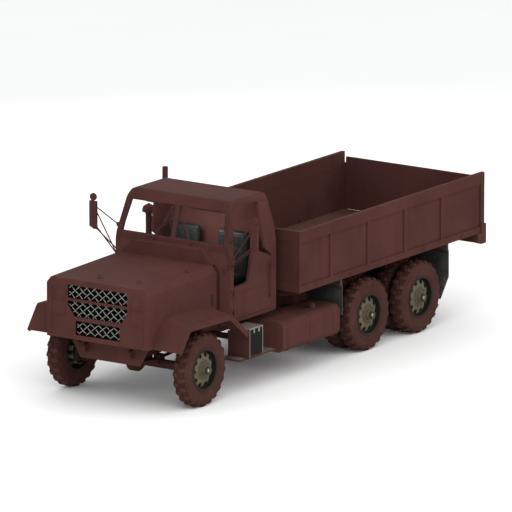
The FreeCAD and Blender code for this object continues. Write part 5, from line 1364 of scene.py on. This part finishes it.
    def build(self) -> None:
        """Fits out the cab, with ribbed mats on its floor and sun visors under the roof's edge."""
        self.gauges()
        self.controls()
        mats, visors = [], []
        for x0, x1 in ((0.15, 0.9), (-0.9, -0.15)):
            ridge = block((x0 + 0.03, row(1.975), 1.033), (x1 - 0.03, row(1.983), 1.0365), 0.001, 1)
            mats.append(block((x0, row(1.95), 1.0275), (x1, row(2.3), 1.0335), 0.002, 1))
            mats += copied(ridge, moved(*[(0, 0.025 * i, 0) for i in range(12)]))
        put("floor_mats", mats, Look.SEAL)
        for x0, x1 in ((0.14, 0.66), (-0.66, -0.14)):
            visors.append(block((x0, row(2.155), 2.545), (x1, row(2.171), 2.665), 0.006, 3))
            visors.append(rod((x0 - 0.02, row(2.163), 2.668), (x1 + 0.02, row(2.163), 2.668), 0.005, 12))
        put("sun_visors", visors, Look.SEAT)


@dataclass(frozen=True)
class CabTrim:
    """Seals, gutters, seams, rivets, mirror glasses and door fittings on the cab's outside."""

    base: tuple[float, float, float] = (1.874, 2.131, 0.905)
    top: tuple[float, float, float] = (2.028, 2.614, 0.815)
    rivet: float = 0.006
    skin: float = 0.9995
    roof: float = 2.7415

    def screen(self, share: float, rise: float, depth: float) -> Point:
        """A place on the windscreen: share of its half width, of its height, and depth behind its face."""
        y, z, half = (a + (b - a) * rise for a, b in zip(self.base, self.top))
        slope = math.atan2(self.top[0] - self.base[0], self.top[1] - self.base[1])
        return share * half, row(y + depth * math.cos(slope)), z - depth * math.sin(slope)

    def seams(self) -> None:
        """A rubber bead round each pane, roof gutters and pressed stiffeners on the back wall."""
        seals, made = [], []
        for side in (1, -1):
            shares = ((0.04, 0.045), (0.995, 0.045), (0.995, 0.965), (0.044, 0.965))
            corners = [self.screen(side * a, b, 0.012) for a, b in shares]
            seals += [rod(start, end, 0.0065, 10) for start, end in zip(corners, corners[1:] + corners[:1])]
            run = ((2.075, 2.64), (2.12, 2.668), (2.9, 2.668), (2.965, 2.61))
            made.append(pipe([(side * 0.9085, row(y), z) for y, z in run], 0.0075))
        put("screen_seals", seals, Look.SEAL)
        for x in (-0.55, 0.0, 0.55):
            rib = block((x - 0.045, row(3.046), 1.15), (x + 0.045, row(3.062), 2.1), 0.008, 3)
            made.append(inset(rib, REAR, 0.012, -0.004))
        put("cab_seams", made, Look.BODY)

    def rivets(self) -> None:
        """Rivets on the cab's sides, roof and back."""
        side, roof, back, wall = [], [], [], row(3.0495)
        for y in map(row, (2.96, 1.925)):
            side += line((self.skin, y, 1.05), (self.skin, y, 1.95), 12)
        for y in map(row, (2.2, 2.86)):
            roof += line((-0.78, y, self.roof), (0.78, y, self.roof), 17)
        for z in (1.08, 2.14):
            back += line((-0.93, wall, z), (0.93, wall, z), 20)
        size = self.rivet
        sides = copied(rivets(size, side, LEFT), BOTH_SIDES)
        put("cab_rivets", [*sides, rivets(size, roof, UP), rivets(size, back, REAR)], Look.BODY)

    def mirrors(self) -> None:
        """The flat and the domed glass of each mirror, with their bolts."""
        x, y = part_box("mirrors")[1].x - 0.066, row(1.9)
        pane = block((x - 0.058, y + 0.0105, 2.142), (x + 0.058, y + 0.0135, 2.502), 0.0012)
        dome = turned([(0.05, 0), (0.047, 0.004), (0.034, 0.0085), (0.018, 0.0108), (0, 0.0116)],
                      (x, y + 0.0135, 2.568), REAR, 36)
        put("mirror_glass", [pane, dome], Look.MIRROR, both=True)
        clips = bolts(0.007, [(x, y - 0.012, z) for z in (2.16, 2.3, 2.44)], FRONT)
        feet = [(1.012, row(1.932) + d, z) for z in (2.211, 1.826) for d in (-0.01, 0.01)]
        put("mirror_bolts", [clips, bolts(0.007, feet, LEFT)], Look.BODY, both=True)

    def doors(self) -> None:
        """Hinge bolts, lock, a raised panel, a sill seal and an inner pull on each door."""
        heads = [(1.0098, row(y), z) for z in (1.15, 1.43) for y in (2.01, 2.045, 2.08)]
        profile = [(0.017, 0), (0.017, 0.003), (0.012, 0.006), (0, 0.006)]
        lock = turned(profile, (1.0, row(2.88), 1.5), LEFT, 24)
        plate = block((0.999, row(2.858), 1.33), (1.003, row(2.9), 1.47), 0.0015)
        panel = block((0.998, row(2.05), 1.12), (1.004, row(2.83), 1.37), 0.0035, 3)
        panel = inset(panel, LEFT, 0.014, -0.0035)
        rows = rivets(0.0052, line((0.9996, row(2.02), 1.075), (0.9996, row(2.88), 1.075), 14), LEFT)
        put_sides("door_trim_{}", [bolts(0.008, heads, LEFT), plate, lock, panel, rows], Look.BODY, "door_{}")
        edge = (
            (1.99, 1.5215), (2.33, 1.5215), (2.362, 1.56), (2.44, 1.925), (2.47, 1.948),
            (2.64, 1.934), (2.89, 1.838),
        )
        put_sides("door_seal_{}", [pipe([(0.977, row(y), z) for y, z in edge], 0.0075)], Look.SEAL, "door_{}")
        grip = ((0.952, 2.5), (0.918, 2.5), (0.918, 2.68), (0.952, 2.68))
        put_sides("door_pull_{}", [pipe([(x, row(y), 1.66) for x, y in grip], 0.007)], Look.GRIP, "door_{}")

    def build(self) -> None:
        """Trims the cab and both doors."""
        self.seams()
        self.rivets()
        self.mirrors()
        self.doors()


@dataclass(frozen=True)
class StepTrim:
    """The dark cover on the step box, its alloy edges and latches, and ribs on the running board."""

    box_x: float = 1.29
    inner_x: float = 0.98
    front: float = 1.955
    rear: float = 2.29
    low: float = 0.531
    top: float = 0.95
    board_front: float = 1.765
    board_ribs: int = 29
    rib_pitch: float = 0.03
    lip: float = 0.011

    def build(self) -> None:
        """Trims both boxes and boards."""
        x, y0, y1 = self.box_x, row(self.front), row(self.rear)
        low, top, lip = self.low, self.top, self.lip
        cover = block((x - 0.001, y0 + 0.02, low + 0.018), (x + 0.004, y1 - 0.02, top - 0.022), 0.0018)
        put("step_cover", [inset(cover, LEFT, 0.018, -0.003)], Look.COVER, both=True)
        lid = block((self.inner_x + 0.014, y0 + 0.014, top), (x - 0.012, y1 - 0.014, top + 0.004), 0.0015)
        put("step_tread", [lid], Look.PLATE, both=True)
        edges = [block(a, b, 0.002) for a, b in (
            ((self.inner_x, y0 - 0.002, top - lip), (x + 0.004, y0 + lip, top + 0.006)),
            ((self.inner_x, y1 - lip, top - lip), (x + 0.004, y1 + 0.002, top + 0.006)),
            ((x - lip, y0, top - lip), (x + 0.005, y1, top + 0.006)),
            ((x - 0.004, y0, low), (x + 0.005, y0 + lip, top)),
            ((x - 0.004, y1 - lip, low), (x + 0.005, y1, top)),
        )]
        for y in (row(2.06), row(2.18)):
            edges.append(block((x + 0.003, y - 0.016, 0.88), (x + 0.012, y + 0.016, 0.938)))
            edges.append(rod((x + 0.01, y - 0.02, 0.885), (x + 0.01, y + 0.02, 0.885), 0.005, 10))
        put("step_edges", edges, Look.ALLOY, both=True)
        first = self.board_front
        rib = block((0.96, row(first), 0.5305), (1.255, row(first + 0.012), 0.535), 0.0015, 1)
        ways = [self.rib_pitch * i for i in range(self.board_ribs)]
        free = [(0, way, 0) for way in ways if not 1.9 < first + way < 2.3]
        put("board_ribs", copied(rib, moved(*free)), Look.ALLOY, both=True)


@dataclass(frozen=True)
class TankTrim:
    """Strap bolts and liners, filler caps, senders, drain plugs and seams on both tanks."""

    outer: float = 1.305
    straps: tuple[float, ...] = (2.935, 3.5125, 4.09)
    ends: tuple[float, float] = (2.784, 4.241)
    sender: tuple[float, float] = (1.0, row(3.3))
    filler: tuple[float, float] = (1.095, row(3.82))
    low: float = 0.435
    top: float = 0.888

    def build(self) -> None:
        """Trims both tanks."""
        x, low, top = self.outer, self.low, self.top
        made, liners, seams = [], [], []
        sender_x, sender_y = self.sender
        for y in map(row, self.straps):
            made.append(bolt(0.011, (0.73, y, top + 0.0045), UP, 0.012))
            made.append(rod((0.73, y, top + 0.004), (0.73, y, top + 0.034), 0.0055, 10))
            heads = [(x + 0.0048, y + d, z) for d in (-0.018, 0.018) for z in (0.6, 0.72)]
            made.append(rivets(0.005, heads, LEFT))
            for d in (-0.037, 0.034):
                strip = (x - 0.0035, y + d, low + 0.13), (x + 0.0025, y + d + 0.004, top - 0.13)
                liners.append(block(*strip, 0.0008, 1))
        made += [
            turned([(0.048, 0), (0.05, 0.004), (0.05, 0.02), (0.046, 0.024), (0.02, 0.026), (0, 0.026)],
                   (*self.filler, 0.9275), UP, 40),
            rod((1.058, self.filler[1], 0.959), (1.132, self.filler[1], 0.959), 0.0075, 12),
            turned([(0.036, 0), (0.036, 0.006), (0.012, 0.008), (0.012, 0.018), (0, 0.018)],
                   (*self.sender, top - 0.0005), UP, 28),
            turned([(0.02, 0), (0.02, 0.007), (0.011, 0.009), (0.011, 0.016), (0, 0.016)],
                   (1.0, row(3.7), low), DOWN, 24),
            bolts(0.0045, [(sender_x + 0.027 * math.cos(a), sender_y + 0.027 * math.sin(a), top + 0.005)
                           for a in (math.tau * i / 6 for i in range(6))], UP),
        ]
        put("tank_fittings", made, Look.BODY, both=True)
        put("tank_liners", liners, Look.SEAL, both=True)
        ring = ((0.76, 0.5), (0.76, 0.822), (1.195, 0.822), (1.225, 0.79), (1.225, 0.53), (1.195, 0.5))
        for y in map(row, self.ends):
            points = [(a, y, b) for a, b in ring]
            middle = tuple((a + b) / 2 for a, b in zip(points[-1], points[0]))
            seams.append(pipe([middle, *points, middle], 0.0045, 2))
        put("tank_seams", seams, Look.BODY, both=True)


@dataclass(frozen=True)
class StackTrim:
    """Clamps on the exhaust stack, slots in its heat shield, and bands on the air cleaner."""

    stack: tuple[float, float] = (-1.02, row(3.152))
    cleaner: tuple[float, float] = (-1.24, row(3.05))
    clamp: float = 1.44
    slot_low: float = 1.15
    slot_pitch: float = 0.031
    slots: int = 20
    columns: int = 9

    def build(self) -> None:
        """Trims the stack and the air cleaner."""
        (x, y), low, made = self.stack, self.slot_low, []
        for z, r in ((1.075, 0.089), (self.clamp, 0.089), (1.8, 0.089), (2.02, 0.0425), (2.62, 0.0425)):
            made.append(hoop(r, 0.005, 0.022, 0.002, (x, y, z - 0.011), UP))
            made.append(block((x - 0.012, y + r, z - 0.009), (x + 0.012, y + r + 0.02, z + 0.009), 0.002, 1))
        put("stack_bands", made, Look.CHASSIS)
        slot = block((x - 0.02, y + 0.087, low), (x + 0.02, y + 0.0905, low + 0.012), 0.0012, 1)
        rises = [self.slot_pitch * i for i in range(self.slots)]
        free = [(0, 0, rise) for rise in rises if abs(low + rise - self.clamp) > 0.03]
        column = joined("slots", copied(slot, moved(*free)))
        put("stack_shield", copied(column, around((x, y, 0), UP, self.columns)), Look.BODY)
        x, y = self.cleaner
        made = [hoop(0.083, 0.005, 0.024, 0.003, (x, y, z), UP) for z in (0.96, 1.3)]
        made += [hoop(0.047, 0.005, 0.032, 0.002, (x, y, z), UP, 32) for z in (1.425, 2.12)]
        lip = [(0.093, 0), (0.099, 0.001), (0.1, 0.01), (0.094, 0.012)]
        made.append(turned(lip, (x, y, 2.158), UP, 44, ring=True))
        made.append(rod((x - 0.022, y, 2.276), (x + 0.022, y, 2.276), 0.006, 10))
        put("cleaner_bands", made, Look.BODY)


@dataclass(frozen=True)
class BedTrim:
    """Rib bolts, hooks and beads on the bed's sides, planks and rings in it, and the gate's panels."""

    half: float = 1.27
    front: float = 3.266
    rear: float = 8.085
    floor: float = 1.262
    top: float = 2.133
    ribs: tuple[float, ...] = (4.091, 5.053, 6.015, 6.977)
    side: tuple[float, float] = (3.306, 7.99)
    screws: tuple[float, ...] = (3.45, 4.55, 5.65, 6.75, 7.85)
    rings: tuple[float, ...] = (3.75, 4.8, 5.85, 6.9, 7.75)
    latch_x: float = 1.222
    panels: tuple[float, ...] = (-1.076, -0.5075, 0.0525, 0.621)
    panel: float = 0.455
    planks: int = 10
    plank: float = 0.228
    gap: float = 0.009

    def outside(self) -> None:
        """Bolts on the ribs, beads along the panel and hooks under the cap rail."""
        x, front, rear = self.half, row(self.front), row(self.rear)
        made = [bolts(0.0085, [(x - 0.0062, row(y), z) for z in (1.3, 1.6, 1.9)], LEFT) for y in self.ribs]
        first, last = self.side
        for a, b in zip((first, *self.ribs), (*self.ribs, last)):
            y = row((a + b) / 2)
            made.append(block((x - 0.008, y - 0.03, 1.262), (x - 0.002, y + 0.03, 1.308), 0.002))
            bends = ((-0.004, 1.3), (0.004, 1.3), (0.006, 1.262), (0.004, 1.246))
            made.append(pipe([(x + out, y, z) for out, z in bends], 0.0055))
        front, lip = front + 0.042, self.top - 0.17
        made.append(block((x - 0.004, front, lip), (x + 0.0035, rear - 0.001, lip + 0.01), 0.002))
        made.append(block((x - 0.01, front, 1.312), (x - 0.004, row(last), 1.32), 0.0018, 1))
        spots = line((x + 0.0002, row(3.36), 2.05), (x + 0.0002, row(8.03), 2.05), 34)
        put("bed_fittings", [*made, rivets(0.0062, spots, LEFT)], Look.BED, both=True)

    def inside(self) -> None:
        """Raised planks on the floor, tie-down rings and a seam along each wall."""
        front, rear, floor, width = row(self.front), row(self.rear), self.floor, self.plank
        start = -(self.planks * width + (self.planks - 1) * self.gap) / 2
        steps = [i * (width + self.gap) for i in range(self.planks)]
        plank = block((start, front + 0.048, floor), (start + width, rear - 0.056, floor + 0.006), 0.002, 1)
        put("bed_planks", copied(plank, moved(*[(step, 0, 0) for step in steps])), Look.FLOOR)
        heads = [(start + step + width / 2 + aside, row(y), floor + 0.0058)
                 for step in steps for y in self.screws for aside in (-0.07, 0.07)]
        put("bed_screws", [rivets(0.007, heads, UP)], Look.CHASSIS)
        rings = []
        for y in map(row, self.rings):
            rings.append(block((1.206, y - 0.028, 1.29), (1.214, y + 0.028, 1.35), 0.002, 1))
            ring = [(0.024, -0.0045), (0.0285, 0), (0.024, 0.0045), (0.0195, 0)]
            rings.append(turned(ring, (1.196, y, 1.3), REAR, 24, ring=True))
        seam = block((1.208, front + 0.045, 1.93), (1.2142, rear - 0.1, 1.944), 0.002, 1)
        put("bed_rings", [*rings, seam], Look.BED, both=True)

    def gate(self) -> None:
        """The sill below the tailgate, its latches on the posts, and panels and rivets on it."""
        y, floor = row(self.rear), self.floor
        sill = block((-1.15, y - 0.0455, floor - 0.037), (1.15, y - 0.019, floor + 0.0015), 0.002)
        put("bed_sill", [sill], Look.SEAL)
        made = []
        for side in (-1, 1):
            x = side * self.latch_x
            made.append(block((x - 0.02, y + 0.0006, 1.88), (x + 0.02, y + 0.02, 1.96), 0.004))
            bends = [(x, y + 0.016, 1.925), (x, y + 0.034, 1.925), (x - side * 0.02, y + 0.036, 1.8)]
            made.append(pipe(bends, 0.006))
        put("gate_latches", made, Look.CHASSIS)
        made = [inset(block((x, y - 0.0235, 1.35), (x + self.panel, y - 0.014, 1.965)), REAR, 0.03, -0.004)
                for x in self.panels]
        made.append(rivets(0.0065, line((-1.1, y + 0.0002, 2.025), (1.1, y + 0.0002, 2.025), 23), REAR))
        put("gate_panels", made, Look.BED, "tailgate")

    def build(self) -> None:
        """Trims the bed."""
        self.outside()
        self.inside()
        self.gate()


@dataclass(frozen=True)
class RearTrim:
    """Tail lamps, reflectors, blank plate, bolts and coupling fittings at the rear."""

    y: float = row(8.115)
    lamp_x: float = 1.226
    coupling: tuple[float, float] = (row(7.9825), 0.815)
    coupling_bolt: float = 0.058
    lamps: tuple[tuple[float, float, Look], ...] = (
        (1.3, 0.036, Look.RED), (1.2, 0.036, Look.AMBER), (1.115, 0.022, Look.RED))

    def build(self) -> None:
        """Trims the rear beam and the pintle."""
        y = self.y
        rims, glasses, heads = [], {Look.RED: [], Look.AMBER: []}, []
        for side in (1, -1):
            for z, r, look in self.lamps:
                spot, in_rim = (side * self.lamp_x, y, z), r - 0.002
                frame = [(r, 0), (r + 0.006, 0.001), (r + 0.006, 0.015), (r, 0.018), (r - 0.003, 0.014)]
                rims.append(turned(frame, spot, REAR, 36, ring=True))
                dome = [(in_rim, 0.001), (in_rim, 0.014), (r * 0.7, 0.02), (r * 0.3, 0.0225), (0, 0.023)]
                glasses[look].append(turned(dome, spot, REAR, 32))
            spots = [(side * x, y - 0.06, z) for x in (0.36, 0.44, 1.02, 1.1) for z in (1.115, 1.195)]
            heads.append(bolts(0.01, spots, REAR))
        put("tail_rims", rims, Look.BLACK)
        for look, glass in glasses.items():
            put(f"tail_{look.name.lower()}", glass, look)
        plate = block((-0.74, y - 0.06, 1.11), (-0.44, y - 0.054, 1.2), 0.004)
        put("rear_bolts", [*heads, plate], Look.BED)
        (face, high), reach = self.coupling, self.coupling_bolt
        corners = [(a, face, high + b) for a in (-reach, reach) for b in (-reach, reach)]
        coupling = bolts(0.011, corners, REAR)
        nut = turned([(0.03, 0), (0.038, 0.005), (0.038, 0.03), (0.03, 0.034)], (0, face, high), REAR, 6)
        put("pintle_nuts", [coupling, nut], Look.STEEL)


@dataclass(frozen=True)
class ChassisTrim:
    """Bolted joints, brake chambers, spring clips and flap strips under the truck."""

    rail_x: float = 0.4322
    joints: tuple[float, ...] = (0.42, 0.52, 1.5, 2.2, 3.2, 3.8, 4.65, 5.6, 5.94, 6.8, 7.6, 7.85)
    clips: tuple[float, ...] = (5.35, 5.55, 6.09, 6.29)
    chamber: tuple[float, float] = (0.33, 0.655)

    def build(self) -> None:
        """Adds the fittings of the frame, axles and springs."""
        spots = [(self.rail_x, row(y), z) for y in self.joints for z in (0.75, 0.88)]
        put("rail_bolts", [bolts(0.0095, spots, LEFT)], Look.CHASSIS, both=True)
        chambers, (x, z) = [], self.chamber
        profile = [
            (0, -0.02), (0.05, -0.018), (0.066, -0.004), (0.07, 0.006), (0.07, 0.014), (0.064, 0.022),
            (0.054, 0.055), (0.03, 0.066), (0, 0.068),
        ]
        for y, way in ((row(MIDDLE_AXLE), 1), (row(REAR_AXLE), -1)):
            spot = (x, y + way * 0.115, z)
            chambers.append(turned(profile, spot, Vector((0, way, 0.25)).normalized(), 32))
            chambers.append(rod(spot, (x, y + way * 0.055, z - 0.055), 0.008, 10))
        put("brake_chambers", chambers, Look.CAST, both=True)
        spots = map(row, self.clips)
        clips = [block((0.47, y - 0.016, 0.68), (0.554, y + 0.016, 0.787), 0.004, 1) for y in spots]
        put("spring_clips", clips, Look.CHASSIS, both=True)
        strips = []
        for y, x0, x1 in ((row(7.1602), 0.6, 1.22), (row(4.3802), 0.68, 1.22)):
            strips.append(block((x0 - 0.02, y - 0.005, 1.07), (x1 + 0.015, y + 0.002, 1.112), 0.002, 1))
            strips.append(bolts(0.0075, line((x0, y - 0.004, 1.091), (x1, y - 0.004, 1.091), 6), FRONT))
        put("flap_strips", strips, Look.CHASSIS, both=True)


@dataclass(frozen=True)
class GrilleWeave:
    """Woven wires in the three openings, each passing over and under the others, before a near-black screen
    that stands as painted shade.
    """

    pitch: float = 0.136
    lean: float = 1.21
    radius: float = 0.006
    wave: float = 0.0085
    first: float = -0.478
    narrow: float = 0.41
    numbers: range = range(-4, 13)
    bends: range = range(-16, 17)
    openings: tuple[tuple[float, float, float, float], ...] = (
        (1.556, 1.752, 0.524, 1.728), (1.295, 1.519, 0.524, 1.434), (1.028, 1.236, 0.388, 1.158))

    def inside(self, low: float, high: float, half: float, x: float, z: float) -> bool:
        """Whether a place lies in an opening; the middle one narrows downward."""
        if low == self.openings[1][0]:
            half = min(half, self.narrow + (half - self.narrow) * max(0.0, z - low) / (high - 0.062 - low))
        return abs(x) <= half + 0.006 and low - 0.005 <= z <= high + 0.005

    def wires(self, low: float, high: float, half: float, over: float) -> list[Piece]:
        """Both sets of wires of one opening.

        Args:
            low: the opening's lower edge.
            high: its upper edge.
            half: half its width.
            over: a height at which the wires that rise to the left lie in front.

        Returns:
            The wires.
        """
        step = self.pitch / 2 / self.lean
        made = []
        for sign in (1, -1):
            for wire in self.numbers:
                points = []
                for bend in self.bends:
                    z = over + bend * step / 2
                    x = self.first + wire * self.pitch + sign * (z - over) * self.lean
                    if self.inside(low, high, half, x, z):
                        points.append((x, WEAVE_Y - sign * self.wave * math.cos(math.pi * bend / 2), z))
                if len(points) > 1:
                    made.append(pipe(points, self.radius, 2))
        return made

    def build(self) -> None:
        """Makes the weave, its frames and the near-black screen behind, which stands for the shade inside the
        grille.
        """
        every = [wire for opening in self.openings for wire in self.wires(*opening)]
        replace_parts(put("grille_wires", every, Look.WIRE, "hood", angle=60.0), "grille")
        y0, y1, edge, wide = NOSE_Y + 0.0225, NOSE_Y + 0.048, 0.014, 0.016
        screens, frames = [], []
        for low, high, half, _ in self.openings:
            low_corner, high_corner = (-half - edge, y1, low - edge), (half + edge, y1 + 0.004, high + edge)
            screens.append(block(low_corner, high_corner, 0.001, 1))
            over = half + 0.015
            bars = ((-over, over, high, high + wide), (-over, over, low - wide, low),
                    (-half - wide, -half, low, high), (half, half + wide, low, high))
            frames += [block((a, y0, c), (b, y1, d), 0.0015, 1) for a, b, c, d in bars]
        # painted shade: the near-black screen stands for the dark inside behind the wires
        put("grille_screen", screens, Look.SCREEN, "hood")
        put("grille_frames", frames, Look.SCREEN, "hood")


# The whole scene

PARTS: tuple[Part, ...] = (
    Tyres(), WheelTrim(), Headlamps(), HoodTrim(), Seats(), Cockpit(), CabTrim(), StepTrim(), TankTrim(),
    StackTrim(), BedTrim(), RearTrim(), ChassisTrim(), GrilleWeave(),
)


def main() -> None:
    """Builds the whole scene, piece by piece."""
    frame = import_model()
    Studio().build()
    dress_frame(frame["nodes"])
    for part in PARTS:
        part.build()
        LOG.info("%s done", type(part).__name__)


if __name__ == "__main__":
    main()
